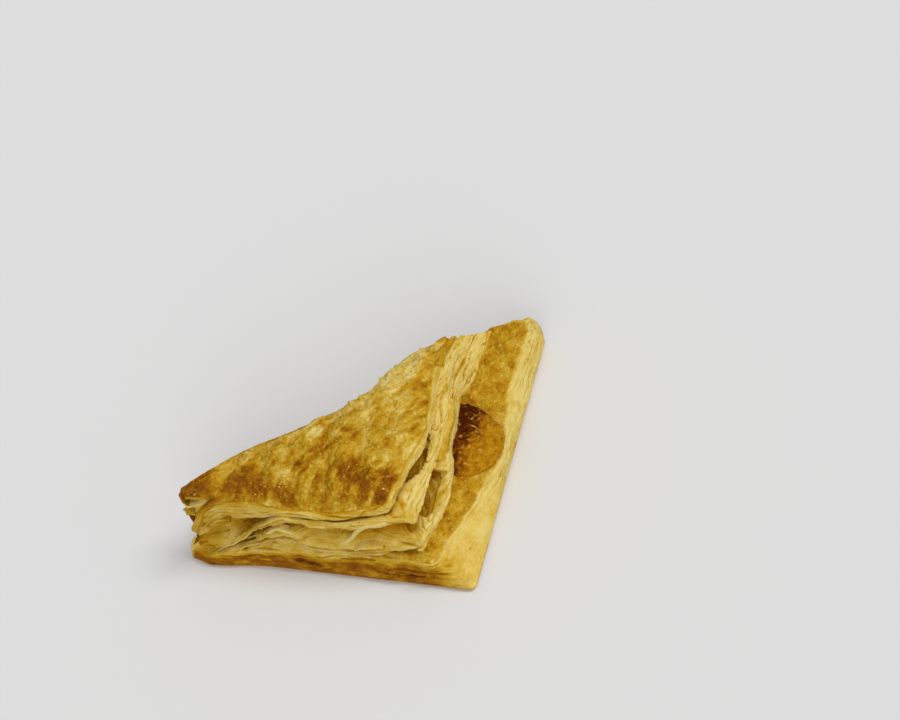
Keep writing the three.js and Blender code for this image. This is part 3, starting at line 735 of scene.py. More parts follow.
def pocket(left, right, height):
    """1 in the pocket between the crust's cut edge and the sheet in front of it."""
    edge = curve_through(POCKET_EDGE, 1, np.clip(right, POCKET_EDGE[0, 0], POCKET_EDGE[-1, 0]))
    inside = smoothstep(left - edge + 0.25 * noise(right / 1.6, 0.7, seed=144), -0.1, 0.6)
    return inside * within(right, 24.5, 27, 41, 43.5) * within(height, 26.5, 28, 34, 34.6)


def under_flap(left, height):
    """1 in the hollow under the flap's lower edge on the left cut side, fading downwards."""
    edge = curve_through(FLAP_EDGE, 1, np.clip(left, FLAP_EDGE[-1, 0], FLAP_EDGE[0, 0]))
    below = edge - height + 0.3 * noise(left / 2.4, 0.4, seed=145)
    return within(below, -0.1, 0.6, 1.4, 4.8) * within(left, 83.5, 88, 102, 107)


def openings(place, height):
    """Depth in mm and darkening of the openings between the leaves; the darkening is mostly painted shade."""
    behind = curve_through(TIP_FOLD, 1, np.clip(height, TIP_FOLD[0, 0], TIP_FOLD[-1, 0])) - place
    behind = behind + 0.3 * noise(height / 2.2, place / 2, seed=143)
    fold = smoothstep(behind, -0.1, 0.7) * within(height, 11, 14, 38, 41)
    # Behind the tip fold the leaves are darkened: painted shade.
    depth, browning = TIP_FOLD_DEPTH * fold, 0.2 * fold * bell(behind - 0.7, 1.5)
    ragged = 0.16 * noise(place / 1.9, height / 1.4, seed=141) + 0.08 * noise(place / 0.7, height, seed=142)
    for start, end, width, deep, painted_shade in OPENINGS:
        start, run = np.array(start), np.array(end) - np.array(start)
        aside = place - start[0], height - start[1]
        part = np.clip((aside[0] * run[0] + aside[1] * run[1]) / (run @ run), 0, 1)
        away = np.hypot(aside[0] - part * run[0], aside[1] - part * run[1])
        pointed = width * np.sin(math.pi * mix(0.1, 0.9, part)) ** 0.7
        mask = 1 - smoothstep(away / pointed + ragged, 0.5, 1.2)
        # Each opening is darkened by its painted shade.
        depth, browning = np.maximum(depth, deep * mask), np.maximum(browning, painted_shade * mask)
    return depth, browning


LIP_BAND_END = (34, 24)  # left distances between which the browned top of the lip comes in


def kept_layers(depth):
    """How much of the layers' relief stays where an opening has this depth."""
    return 1 - 0.8 * smoothstep(depth, 1.6, 2.2)


def lip_band(row, left):
    """1 on the browned top of the lip, which runs round the square corner and fades."""
    band = smoothstep(row, LIP_BRIM_ROW + 0.02, LIP_BRIM_ROW + 0.16)
    band = band * smoothstep(row, LIP_SHELF_ROW + 0.6, LIP_SHELF_ROW + 0.1)
    return band * smoothstep(left, *LIP_BAND_END)


MOST_TOASTED_EDGE = 0.68


def edge_toast_and_shade(points, row, place, groove, band):
    """Browning of the cut sides, with painted shade in the grooves between the layers and in the clefts
    between the leaves.
    """
    x, y, z = points[..., 0], points[..., 1], points[..., 2]
    left, _right = from_plan(x, y)
    on_left = side_masks(place)[0]
    mottle = fractal(x, y, z, size=6, seed=31)
    # The grooves between the layers are darkened: painted shade.
    toast = 0.06 + 0.08 * on_left + 0.1 * mottle + (0.3 - 0.1 * on_left) * groove
    # The clefts between the leaves are darkened: painted shade, faded out near the left tip.
    cleft_shade = (0.24 + 0.06 * on_left) * mix(1, smoothstep(place, 6, 28), on_left)
    toast = toast + cleft_shade * near_rows(row, CLEFT_ROWS, 0.4)
    # Some leaf edges took colour in the oven.
    scorched = smoothstep(noise(place / 7, row * 2.3, seed=35), 0.2, 0.8)
    toast = toast + 0.16 * scorched * near_rows(row, LEAF_BRIM_ROWS, 0.3) + 0.04 * on_left
    spots = 0.17 * fractal(x, y, size=2.6, seed=32) + 0.1 * fractal(x, y, size=9, seed=36)
    toast = mix(toast, 0.4 + spots + 0.1 * smoothstep(row, LIP_BRIM_ROW + 0.5, LIP_SHELF_ROW), band)
    below = smoothstep(row, LIP_BRIM_ROW + 0.1, LIP_BRIM_ROW - 0.6)
    under_left = 0.46 + 0.34 * fractal(x / 3.4, y / 3.4, z / 1.8, octaves=4, seed=33)
    toast = toast + on_left * below * under_left * smoothstep(left, 4, 20)
    foot = (0.12 + 0.18 * on_left) * smoothstep(z, 2.2 + 0.8 * mottle, 0.4)
    tip = on_left * smoothstep(left, 96, 113) * (0.26 + 0.1 * mottle) * (1 - 0.6 * below)
    return np.minimum(toast + foot + tip, MOST_TOASTED_EDGE)


# Painted shade in the pocket under the crust and in the hollow under the flap.
HOLLOW_SHADE = 0.3
CALM_END = (46, 30)  # right distances between which the nearly plain face of the lip comes in
FOLDED_PLACES = (231, 237)  # distances round the outline where the right leaves go behind the tip


def hollows(place, left, right, height):
    """Depth in mm and darkening of all that is open between the leaves of the cut sides; the darkening is
    mostly painted shade.
    """
    on_left, on_right, _on_fold = side_masks(place)
    depth, browning = openings(place, height)
    in_pocket = pocket(left, right, height) * on_right
    in_hollow = under_flap(left, height) * on_left * smoothstep(right, 4.5, 7)
    depth = np.maximum(np.maximum(depth, POCKET_DEPTH * in_pocket), FLAP_HOLLOW_DEPTH * in_hollow)
    # The pocket and the hollow are darkened: painted shade.
    return depth, browning + HOLLOW_SHADE * (in_pocket + in_hollow)


def behind_tips(place, left, right):
    """1 on the ends of the leafy edges that lie in the closed fold."""
    folded = smoothstep(fold_distance(left, right), 1, -0.6)
    return smoothstep(place, -2, -7) + smoothstep(place, *FOLDED_PLACES) * folded


def edge_skin(points, band, calm):
    """Unevenness in mm of the cut sides, with small blisters on the browned top of the lip."""
    x, y, z = points[..., 0], points[..., 1], points[..., 2]
    skin = 0.26 * fractal(x, y, z, size=2.8, seed=25)
    skin = skin + 0.55 * calm * fractal(x / 5, y / 5, z / 3, octaves=4, seed=29)
    blisters = 0.45 * fractal(x, y, z, size=2.4, seed=27) + 0.3 * np.abs(noise(x, y, z, seed=28))
    return skin + band * blisters


def cleft_recess(row, place):
    """How much deeper than their lines the clefts are cut, in mm."""
    on_left, on_right, _on_fold = side_masks(place)
    recess = CLEFT_RECESS[0] * on_left * smoothstep(place, 1, 22) + CLEFT_RECESS[1] * on_right
    return recess * near_rows(row, CLEFT_ROWS, 0.4)


def build_edge(name, first, last, count):
    """Leafy skin of the cut sides between two distances round the outline."""
    distance = np.linspace(first, last, count)
    steps = steps_at(distance)
    shares, heights = line_rings(steps)
    share = between(shares[BEVEL_ROW:-1], EDGE_STEPS)
    height = between(heights[BEVEL_ROW:-1], EDGE_STEPS)
    row = np.repeat(row_numbers(EDGE_STEPS, BEVEL_ROW)[:, None], count, 1)
    place = np.repeat(distance[None], len(row), 0)
    outer = place_points(steps, share, height)
    x, y, z = np.moveaxis(outer, -1, 0)
    left, right = from_plan(x, y)
    on_left, on_right, _on_fold = side_masks(place)
    band = lip_band(row, left)
    # The face of the lip near the square corner is nearly plain.
    calm = on_right * smoothstep(row, LIP_BRIM_ROW + 0.05, LIP_BRIM_ROW - 0.3)
    calm = calm * smoothstep(right, *CALM_END)
    behind = behind_tips(place, left, right)
    opened, opened_shade = (value * (1 - behind) for value in hollows(place, left, right, height))

    layers, groove = layers_of_sides(place, height, LEAF_LAYERS, on_left)
    groove = groove * (1 - band) * (1 - 0.85 * calm)
    layers = layers * (1 - 0.75 * calm) * kept_layers(opened) * (1 - 0.85 * behind) * (1 - band)
    rim = 0.7 * bell(row - LIP_BRIM_ROW, 0.1) * smoothstep(left, *LIP_BAND_END)
    relief = layers + edge_skin(outer, band, calm) + rim - cleft_recess(row, place) - opened
    ends = leafy_part(distance)
    relief = relief * smoothstep(row, BEVEL_ROW, BEVEL_ROW + 0.5) * ends - (1 - ends)
    outer = push_out(outer, relief, closed=False)
    outer[..., 2] = np.maximum(outer[..., 2], 0.05)

    # The openings and hollows between the leaves get painted shade.
    toast = edge_toast_and_shade(outer, row, place, groove, band) + opened_shade + 0.06 * calm
    toast = mix(toast, 0.4 + 0.15 * fractal(x, y, z, size=5, seed=34), behind)
    flaky = (1 - band) * (1 - 0.75 * calm) * mix(1, 0.6, on_left) * (1 - behind)

    # The back of the skin, inside the body.
    deepest = share.min(axis=0)
    backs = ((0.84, height[-1] - 1), (0.78, height[0] * 0 + 16), (0.8, height[0] + 1.5))
    inner = np.array([place_points(steps, deepest * part, level) for part, level in backs])
    points = np.concatenate([outer, inner])
    extra = np.zeros((len(inner), count))
    values = {"toast": (toast, extra + 0.3), "glaze": (band, extra), "flaky": (flaky, extra),
              "run": (place, extra), "leaf": (height, extra)}
    values = {key: np.concatenate(parts).ravel() for key, parts in values.items()}
    return closed_strip(name, points, values)


def hidden_core(steps, row, share, height, covered):
    """The body without its leaves, drawn back behind the leafy edges that cover it."""
    shaped = smoothstep(row, BEVEL_ROW, BEVEL_ROW + 0.6) * covered
    least = share[row[:, 0] > BEVEL_ROW].min(axis=0) - CORE_DEPTH / np.hypot(steps[:, 0], steps[:, 1])
    return mix(share, least[None], shaped), height - CORE_DROP * shaped


def build_body():
    """Whole pastry below the crust: the base, the fold and what lies behind the leafy edges."""
    distance = np.arange(BODY_COLUMNS) / BODY_COLUMNS * LOOP
    steps = steps_at(distance)
    shares, heights = line_rings(steps)
    share = between(shares, BODY_STEPS)
    height = between(heights, BODY_STEPS)
    height[:BODY_STEPS[0] + 1] = 0
    row = np.repeat(row_numbers(BODY_STEPS)[:, None], BODY_COLUMNS, 1)
    covered = leafy_part(np.where(distance > LOOP - BEFORE_TIP, distance - LOOP, distance))
    core_share, core_height = hidden_core(steps, row, share, height, covered[None])
    points = place_points(steps, core_share, np.maximum(core_height, 0))
    x, y, z = points[..., 0], points[..., 1], points[..., 2]
    skin = 0.4 * fractal(x, y, z, size=3.2, seed=25)
    skin = skin + 0.12 * noise(x, y, z, size=0.9, seed=26)
    shaped = smoothstep(row, BEVEL_ROW - 0.4, BEVEL_ROW + 0.4)
    on_fold = side_masks(distance)[2]
    under_crust = on_fold * smoothstep(row, *UNDER_CRUST_ROWS)
    depth = 0.5 * on_fold * smoothstep(row, 3, 4) + 1.5 * under_crust
    points = push_out(points, (skin - depth) * (1 - covered) * shaped)
    points[..., 2] -= UNDER_CRUST_DROP * under_crust
    points[..., 2] = np.maximum(points[..., 2], 0)
    toast = 0.38 + 0.15 * fractal(x, y, z, size=5, seed=34) + 0.16 * smoothstep(z, 3, 0.5)

    # A cap well below the crust.
    inner_shares = [core_share[-1] * part for part in (0.8, 0.5, 0.2)]
    rises = [heights[-1] + (DOME_HEIGHT - 3 - heights[-1]) * part for part in (0.35, 0.75, 0.98)]
    cap = np.array([place_points(steps, s, h - 2.5) for s, h in zip(inner_shares, rises)])
    rings = np.concatenate([points, cap])
    values = {"toast": np.concatenate([toast, np.full((3, BODY_COLUMNS), 0.4)])}
    centre = to_plan(*HUB)
    return lofted("pastry_body", rings, (*centre, 0), (*centre, DOME_HEIGHT - 6), values)


CRUST_COLUMNS = 700
RIM_ROWS, DOME_ROWS, UNDER_ROWS = 44, 90, 6
DOME_INWARD, DOME_SWELL = 1.2, 2.4  # how the rows of the dome bunch at the rim, and how full it is
DOME_EVENING = 0.06  # how far round the outline is evened out towards the middle
HEM_FOLD = 0.07  # place of the crust's hem on the fold, as a share of the fold's height
HEM_START = (24, 48)  # left distances between which the hem comes down the fold
TIP_THINNING = 0.9  # how much the crust's cut edge is drawn in near the left tip
CAP_START, CAP_RANGE = 46.6, 1.9  # height above which the relief is pressed down, and by how much
CREASE_RUN = (0.96, 0.28)  # direction in plan of the creases of the crust


def along_creases(x, y):
    """Distances along and across the direction of the crust's creases."""
    return CREASE_RUN[0] * x + CREASE_RUN[1] * y, CREASE_RUN[0] * y - CREASE_RUN[1] * x


def crust_creases(x, y):
    """Long soft creases and ridges that the crust puffed up into, about -1 to 1."""
    along, aside = along_creases(x, y)
    bend = 1.2 * noise(x, y, size=11, seed=46)
    return 1 - 2.4 * np.abs(fractal(along / 8.5, aside / 3.8 + bend, seed=47))


def crust_relief(x, y, left, right):
    """Blisters, creases, flaked layers and grain of the upper flap, in mm."""
    terraces = fractal(x / 9, y / 7, seed=41) * 3.2
    stepped = np.floor(terraces) + smoothstep(terraces - np.floor(terraces), 0.0, 0.28)
    flaked = 0.22 * (stepped - terraces)
    bubbles = 0.85 * np.abs(fractal(x, y, size=3.0, seed=42)) ** 0.8
    grain = 0.24 * noise(x, y, size=0.95, seed=43) + 0.42 * fractal(x, y, size=1.9, seed=44)
    strip = ridge_mask(left, right)
    wrinkles = 0.45 * np.sin(1.15 * fold_distance(left, right) + 2.2 * noise(left, right, size=8, seed=45))
    rough = (1 - 0.75 * strip) * (flaked + bubbles + grain + 0.8 * crust_creases(x, y))
    ridge = bell(fold_distance(left, right) - 13, 9) * smoothstep(left, 96, 80)
    rough = rough + ridge * 2.6 * np.maximum(fractal(x, y, size=3.1, seed=48), 0)
    return blister(x, y) + rough + strip * (wrinkles - 1.6)


def pressed_down(height):
    """Heights with the highest bubbles kept under the tallest point of the pastry."""
    over = np.maximum(height - CAP_START, 0)
    return np.minimum(height, CAP_START) + CAP_RANGE * (1 - np.exp(-over / CAP_RANGE))


def crust_rim(steps, distance):
    """Rows of the flap's cut edge and, on the fold, of its back, with shares and heights."""
    rows = np.arange(RIM_ROWS) / (RIM_ROWS - 1)
    came_down = smoothstep(fold_place(steps), *HEM_START)
    shares, heights = [], []
    for part in rows:
        fold_foot = mix(LINES["crust_foot"]["fold"], HEM_FOLD, came_down)
        fold = mix(fold_foot, LINES["crust_brim"]["fold"], part)
        low = crossing(steps, side_values("crust_foot", fold))
        high = crossing(steps, side_values("crust_brim", fold))
        share, height = (mix(a, b, part) for a, b in zip(low, high))
        if heights:
            height = np.maximum(height, heights[-1] + 0.05)
        shares.append(share)
        heights.append(height)
    share, height = np.array(shares), np.array(heights)
    flat = place_points(steps, share, height)
    place = np.repeat(distance[None], RIM_ROWS, 0)
    on_left, _on_right, on_fold = side_masks(place)
    on_cut = 1 - on_fold
    x, y, z = np.moveaxis(flat, -1, 0)
    left, _right = from_plan(x, y)
    layers, groove = layers_of_sides(place, height - height[:1], FLAP_LAYERS, on_left)
    rounding = 0.8 * np.sin(math.pi * rows[:, None]) ** 0.6
    near_tip = smoothstep(left, 96, 112)
    opened, opened_shade = openings(place, height)
    leafy = on_cut * (layers * kept_layers(opened) + rounding) - opened - near_tip * TIP_THINNING
    back = on_fold * (0.35 * fractal(x, y, z, size=4, seed=54) + 0.12 * noise(x, y, z, seed=55) + 0.1)
    rim = push_out(flat, leafy + back)
    mottle = fractal(x, y, z, size=6, seed=56)
    # The grooves between the layers of the cut edge are darkened: painted shade.
    cut_toast_and_shade = 0.12 + 0.25 * groove + 0.1 * mottle + 0.06 * on_left
    toast = mix(cut_toast_and_shade, 0.46 + 0.14 * mottle, on_fold)
    high_part = np.repeat(rows[:, None], CRUST_COLUMNS, 1)
    toast = toast + on_cut * 0.26 * smoothstep(high_part, 0.75, 1.0)
    # The openings in the crust's cut edge get painted shade.
    toast = toast + 0.26 * smoothstep(left, 98, 113) + opened_shade
    flaky = on_cut * smoothstep(high_part, 1, 0.8)
    values = {"toast": toast, "glaze": on_fold, "flaky": flaky, "run": place, "leaf": height}
    return rim, share, height, values


def build_crust():
    """Browned upper flap, running over the fold and down the back."""
    distance = np.arange(CRUST_COLUMNS) / CRUST_COLUMNS * LOOP
    steps = steps_at(distance)
    rim, rim_share, rim_height, rim_values = crust_rim(steps, distance)
    dome, dome_toast = [], []
    for i in range(1, DOME_ROWS):
        part = i / DOME_ROWS
        inward = part**DOME_INWARD
        swell = 1 - (1 - inward) ** DOME_SWELL
        reach = int(part * CRUST_COLUMNS * DOME_EVENING)
        share = evened(rim_share[-1], reach) * (1 - inward)
        height = mix(evened(rim_height[-1], reach), DOME_HEIGHT, swell)
        ring = place_points(steps, share, height)
        left, right = from_plan(ring[:, 0], ring[:, 1])
        rise = np.minimum(1, 3.0 * inward + 0.45 * side_masks(distance)[2])
        ring[:, 2] = pressed_down(ring[:, 2] + crust_relief(ring[:, 0], ring[:, 1], left, right) * rise)
        dome.append(ring)
        strip_toast = 0.3 + 0.16 * fractal(left, right, size=5, seed=58)
        strip = ridge_mask(left, right) * (1 - smoothstep(left, 92, 100))
        dome_toast.append(mix(crust_toast(left, right), strip_toast, strip))
    # The underside goes back to the hem, well inside the body.
    under = []
    for i in range(1, UNDER_ROWS):
        part = i / UNDER_ROWS
        share = rim_share[0] * mix(0.06, 0.91, part)
        height = mix(DOME_HEIGHT - 7, mix(rim_height[0], rim_height[-1], 0.35), part)
        under.append(place_points(steps, share, height))
    rings = np.concatenate([np.array(under), rim, np.array(dome)])
    before, after = (np.zeros((rows - 1, CRUST_COLUMNS)) for rows in (UNDER_ROWS, DOME_ROWS))
    values = {k: np.concatenate([before, v, after]) for k, v in rim_values.items()}
    values["toast"][:UNDER_ROWS - 1] = 0.3
    values["toast"][-len(dome):] = np.array(dome_toast)
    values["glaze"][-len(dome):] = 1
    centre = to_plan(*HUB)
    top = DOME_HEIGHT + float(crust_relief(centre[0], centre[1], *(np.array(v) for v in HUB)))
    return lofted("crust", rings, (*centre, DOME_HEIGHT - 7), (*centre, pressed_down(top)), values)


# ---- Free leaves that stand out of the cut sides ----
# Side, knots (distance along it, inset, height of the leaf's middle), thickness, depth, browning.
RIBBONS = {
    "risen_leaf": ("left", knots(
        (103, 2.4, 6.8), (98, 2.6, 8.4), (93, 3, 11.4), (88, 3.4, 16.4), (84, 3.4, 20.4), (80, 3.4, 24),
        (76, 3.4, 27), (71, 3.6, 29.6), (66, 3.8, 29.6), (60, 4, 27.6), (53, 4.2, 26.8),
        (47, 4.6, 27.8), (40, 5.4, 30.2),
    ), 1.3, 3.2, 0.06),
    "wavy_leaf": ("left", knots(
        (87, 3.2, 12.4), (82, 2.9, 16.4), (78, 2.6, 20.4), (73, 2.5, 23.4), (69, 2.7, 22),
        (65.5, 3, 18.2), (62, 3.1, 15.6), (57, 3.2, 14.8), (52.5, 3.3, 15), (48.5, 3.6, 17.6),
        (45, 4.1, 21.4), (42, 4.7, 25.4), (38, 5.4, 28.2), (33, 6.2, 28.8), (29, 7.4, 29.2),
        (26, 8.6, 29.6),
    ), 1.7, 3.4, 0.06),
    "torn_shelf": ("left", knots(
        (98, 2.4, 7.2), (92, 2.4, 8.8), (85, 2.6, 11.6), (78, 2.8, 15), (70, 3, 16.2), (64, 2.7, 13.6),
        (57, 2.5, 12.4), (50, 2.7, 12.8), (43, 3, 13), (36, 3.4, 12.6), (29, 4, 14.2),
    ), 0.9, 2.6, 0.14),
    "torn_flake": ("left", knots(
        (45, 2.6, 15.4), (41, 2.4, 17.4), (37, 2.9, 17.2), (33, 4.2, 16.6),
    ), 0.9, 6, 0.12),
    "finger_leaf": ("right", knots(
        (37, 17.6, 24.8), (41, 16.6, 25.8), (47, 16.7, 26.8), (54, 17, 28), (60, 17.6, 29),
        (67, 19.6, 29.2),
    ), 4.8, 7, 0.3),
    "torn_sheet": ("right", knots(
        (5, 18.4, 16.6), (12, 16.8, 17.2), (20, 14.8, 17.6), (27, 13.6, 18.4), (32, 13.4, 19.6),
        (35, 14.4, 21.8), (38, 16, 25),
    ), 1.4, 3.4, 0.17),
    "ragged_leaf": ("right", knots(
        (14, 20.4, 25.6), (21, 20, 26.2), (28, 19.6, 27), (34, 19.2, 27.6), (39, 18.6, 27.4),
    ), 1.5, 3.4, 0.1),
    "hanging_leaf": ("right", knots(
        (70, 19, 23.6), (73, 17.6, 22.6), (77, 16.6, 21.8), (82, 15.8, 23), (88, 15.2, 25),
        (95, 14.6, 26.6),
    ), 2.4, 4, 0.1),
    "crust_leaf": ("right", knots(
        (45, 21.9, 35), (50, 22.2, 35.2), (56, 22.9, 35.4), (66, 23.6, 36), (76, 23.8, 36.2),
    ), 1.3, 5, 0.14),
}
# Leaves that wrap round the left tip. Knots: distance along the leaf, left, right, height.
TIP_LEAVES = {
    "tip_leaf_high": (knots(
        (0, 98, 8.6, 34.8), (5, 102.5, 6, 35.6), (9, 106, 4.8, 36.8), (12.5, 109, 5.2, 37.6),
        (14.5, 107.8, 6.4, 37.8), (19, 103.4, 8.6, 38), (24, 99, 11, 38),
    ), 2.2, 3, 0.3),
    "tip_leaf_upper": (knots(
        (0, 99, 8.2, 30), (5, 103, 5.8, 30.6), (9, 106.8, 4.6, 31.4), (13, 110, 5, 32),
        (15.5, 108.4, 6.2, 32), (20, 104, 8.4, 32), (25, 99.6, 10.6, 32),
    ), 1.8, 3, 0.16),
    "tip_leaf_middle": (knots(
        (0, 102, 7.8, 22.8), (4, 105, 5.6, 24.6), (7.5, 108.2, 4.4, 26.2), (11.5, 111.6, 4.8, 27.4),
        (14, 110, 6, 27.4), (18.5, 105.6, 8, 27), (23.5, 101, 10.4, 27),
    ), 2.4, 3, 0.2),
    "flap_fold": (knots(
        (0, 102.5, 12, 15.4), (5, 107.4, 8.2, 15.2), (9, 111.6, 4.4, 15), (12, 110.6, 2.9, 16.4),
        (17, 107.6, 1.7, 21.6), (22, 105, 1.6, 25.4), (28, 101.7, 3.8, 29.5), (36, 96.1, 5.1, 34.6),
        (42.5, 90.7, 8.2, 36.9), (48, 86.7, 12, 38.6),
    ), 2.6, 4.5, 0.26),
}
FLAP_FOLD_BROWNED = (0.42, 0.62)  # share of the flap's fold between which it turns brown
RIBBON_COLUMNS, RIBBON_SECTION = 360, 32
RIBBON_BLUNTNESS = (0.55, 0.7)  # of its section: into the pastry and through its thickness


def blunted(values, power):
    """Values between -1 and 1 pushed out towards the ends, for a blunter form."""
    return np.sign(values) * np.abs(values) ** power


def tip_line(line, place, seed):
    """Middle line in mm and inward directions of a leaf that wraps round the left tip."""
    x, y = to_plan(curve_through(line, 1, place), curve_through(line, 2, place))
    height = curve_through(line, 3, place) + 0.2 * noise(place / 5, seed, seed=63)
    forward = np.gradient(np.stack([x, y], -1), axis=0)
    forward = forward / np.linalg.norm(forward, axis=-1, keepdims=True)
    inward = np.stack([forward[:, 1], -forward[:, 0], 0 * x], -1)
    to_middle = np.stack([x.mean() - x, y.mean() - y], -1)
    inward = inward * np.sign((inward[:, :2] * to_middle).sum())
    return np.stack([x, y, height], -1) + inward * (0.3 * noise(place / 2.2, seed, seed=61))[:, None], inward


def side_line(side, line, place, seed):
    """Middle line in mm and inward direction of a leaf on one of the cut sides."""
    inset, height = curve_through(line, 1, place), curve_through(line, 2, place)
    inset = inset + 0.4 * noise(place / 4, seed, seed=61) + 0.22 * noise(place / 1.3, seed, seed=62)
    inset = inset + 0.12 * noise(place / 0.6, seed, seed=68)
    height = height + 0.3 * noise(place / 5, seed, seed=63) + 0.12 * noise(place / 1.7, seed, seed=67)
    x, y = to_plan(place, inset) if side == "left" else to_plan(inset, place)
    inward = np.array([1, 1, 0] if side == "left" else [-1, 1, 0]) / math.sqrt(2)
    return lean_tip(x, y, height), inward


def build_ribbon(name, side, line, thickness, depth, browning):
    """One free leaf: a rounded strip that follows its line, with fine layers on its edge."""
    seed = 80 + 5 * [*RIBBONS, *TIP_LEAVES].index(name)
    t = np.linspace(0, 1, RIBBON_COLUMNS)
    place = mix(line[0, 0], line[-1, 0], t)
    if side == "tip":
        centre, inward = tip_line(line, place, seed)
    else:
        centre, inward = side_line(side, line, place, seed)
    across = np.cross(inward, np.gradient(centre, axis=0))
    across /= np.linalg.norm(across, axis=-1, keepdims=True)
    across *= np.sign(across[:, 2:3])
    angle = (np.arange(RIBBON_SECTION) / RIBBON_SECTION * 2 * math.pi)[:, None]
    into = (1 - blunted(np.cos(angle), RIBBON_BLUNTNESS[0])) / 2
    half = blunted(np.sin(angle), RIBBON_BLUNTNESS[1])
    ends = np.sqrt(np.clip(within(t, 0, 0.12, 0.88, 1), 0.02, 1))
    level = half * thickness * ends * (1 + 0.18 * noise(place / 6, seed, seed=64)) / 2
    lines = noise(place[None] / 18, level / 0.42, seed, seed=65)
    reach = into * depth * mix(0.5, 1, ends) - 0.22 * lines * (1 - into) * ends
    points = centre + inward * reach[..., None] + across * (level * (1 - 0.35 * into))[..., None]

    toast = browning + 0.06 * lines + 0.1 * noise(place / 7, seed, seed=66)
    if name == "flap_fold":
        toast = toast + 0.3 * smoothstep(t, *FLAP_FOLD_BROWNED)
    else:
        toast = toast + 0.34 * smoothstep(t, 0.9, 0.98)
    values = {"toast": toast.ravel(), "flaky": np.ones(toast.size), "leaf": level.ravel() + 3.7 * seed,
              "run": np.tile(place, RIBBON_SECTION)}
    return closed_strip(name, points, values)


# ---- Sugar and crumbs ----
def scatter_shapes(name, found, squash, seed, toast=0.0):
    """One piece of small blunt lumps at places and sizes, each an icosphere pulled out of round."""
    rng = random.Random(seed)
    shape = bmesh.new()
    bmesh.ops.create_icosphere(shape, subdivisions=1, radius=1)
    ball = np.array([v.co for v in shape.verts])
    faces = np.array([[v.index for v in f.verts] for f in shape.faces])
    shape.free()
    points, triangles = [], []
    for i, (place, size) in enumerate(found):
        turn = Matrix.Rotation(rng.uniform(0, 6.28), 3, "Z") @ Matrix.Rotation(rng.uniform(-0.5, 0.5), 3, "X")
        stretch = np.array([rng.uniform(0.7, 1.2), rng.uniform(0.7, 1.2), rng.uniform(0.7, 1) * squash])
        blunt = blunted(ball, 0.7)
        points.append(np.array(place) + (blunt * stretch * size / 2) @ np.array(turn).T)
        triangles.append(faces + i * len(ball))
    points, triangles = np.concatenate(points), np.concatenate(triangles)
    values = {"toast": np.full(len(points), toast)}
    return make_mesh(name, points, np.zeros((0, 4), int), triangles, values, smooth=False)


def surface_tree(piece):
    """What a ray is cast at to find a piece's surface."""
    return BVHTree.FromObject(piece, bpy.context.evaluated_depsgraph_get())


def drop_on(tree, left, right, sink):
    """Point in mm where something falls on a piece at a plan position, or None."""
    x, y = to_plan(left, right)
    start = Vector(((x + ORIGIN_SHIFT[0]) * MM, (y + ORIGIN_SHIFT[1]) * MM, 0.2))
    hit = tree.ray_cast(start, Vector((0, 0, -1)))[0]
    if hit is None:
        return None
    return x, y, hit.z / MM - sink


def drop_on_pastry(trees, left, right, sink, lip_width):
    """The same on the lip or on the crust, and None near the square corner of the lip."""
    crust_tree, lip_tree = trees
    if left >= lip_width:
        return drop_on(crust_tree, left, right, sink)
    return drop_on(lip_tree, left, right, sink) if right >= BARE_CORNER else None


def gathered(count, pick):
    """So many results of pick, which returns a place and a size, or None for a bad place."""
    found = []
    while len(found) < count:
        one = pick()
        if one is not None:
            found.append(one)
    return found


SUGAR_COUNT = 130
SUGAR_SIZES = (0.4, 0.95)
SUGAR_LIP, CRUMB_LIP = 16, 18  # distance from the right cut side within which they fall on the lip
CRUMB_COUNT = 46
CRUMB_SIZES = (0.8, 2.2)
CRUMB_TOAST = 0.28
BARE_CORNER = 12  # distance from the left cut side within which the lip stays bare


def build_sugar(trees):
    """Coarse sugar baked onto the crust, thicker in some patches, and onto the lip."""
    rng = random.Random(12)

    def pick():
        left, right = rng.uniform(3, 112), rng.uniform(2, 108)
        if left + right > CUT_SIDE - 3:
            return None
        dense = 0.35 + 0.65 * float(smoothstep(fractal(left, right, size=11, seed=91), -0.1, 0.5))
        if rng.random() > dense:
            return None
        size = rng.uniform(*SUGAR_SIZES)
        place = drop_on_pastry(trees, left, right, 0.22 * size, SUGAR_LIP)
        return None if place is None else (place, size)

    return scatter_shapes("sugar", gathered(SUGAR_COUNT, pick), squash=0.75, seed=13)


def build_crumbs(trees):
    """Loose flakes of pastry caught on the crust and on the lip."""
    rng = random.Random(31)

    def pick():
        left, right = rng.uniform(3, 100), rng.uniform(3, 100)
        if left + right > CUT_SIDE - 6:
            return None
        size = rng.uniform(*CRUMB_SIZES)
        place = drop_on_pastry(trees, left, right, 0.05 * size, CRUMB_LIP)
        return None if place is None else (place, size)

    found = gathered(CRUMB_COUNT, pick)
    return scatter_shapes("crumbs", found, squash=0.22, seed=32, toast=CRUMB_TOAST)


# Middle line of the ridge that the flakes stand on: distance along it, left, right.
RIDGE_LINE = np.array((
    (0, 88, 20), (10, 82, 27), (20, 75, 33), (30, 65.5, 37), (40, 58, 43), (50, 50, 48), (60, 45, 53),
    (70, 41, 60), (80, 37, 68), (90, 34, 75),
))
FLAKE_COUNT = 46
FLAKE_SIZES = (1.1, 2.7)
FLAKE_SPREAD = 1.6
FLAKE_TOAST = 0.2


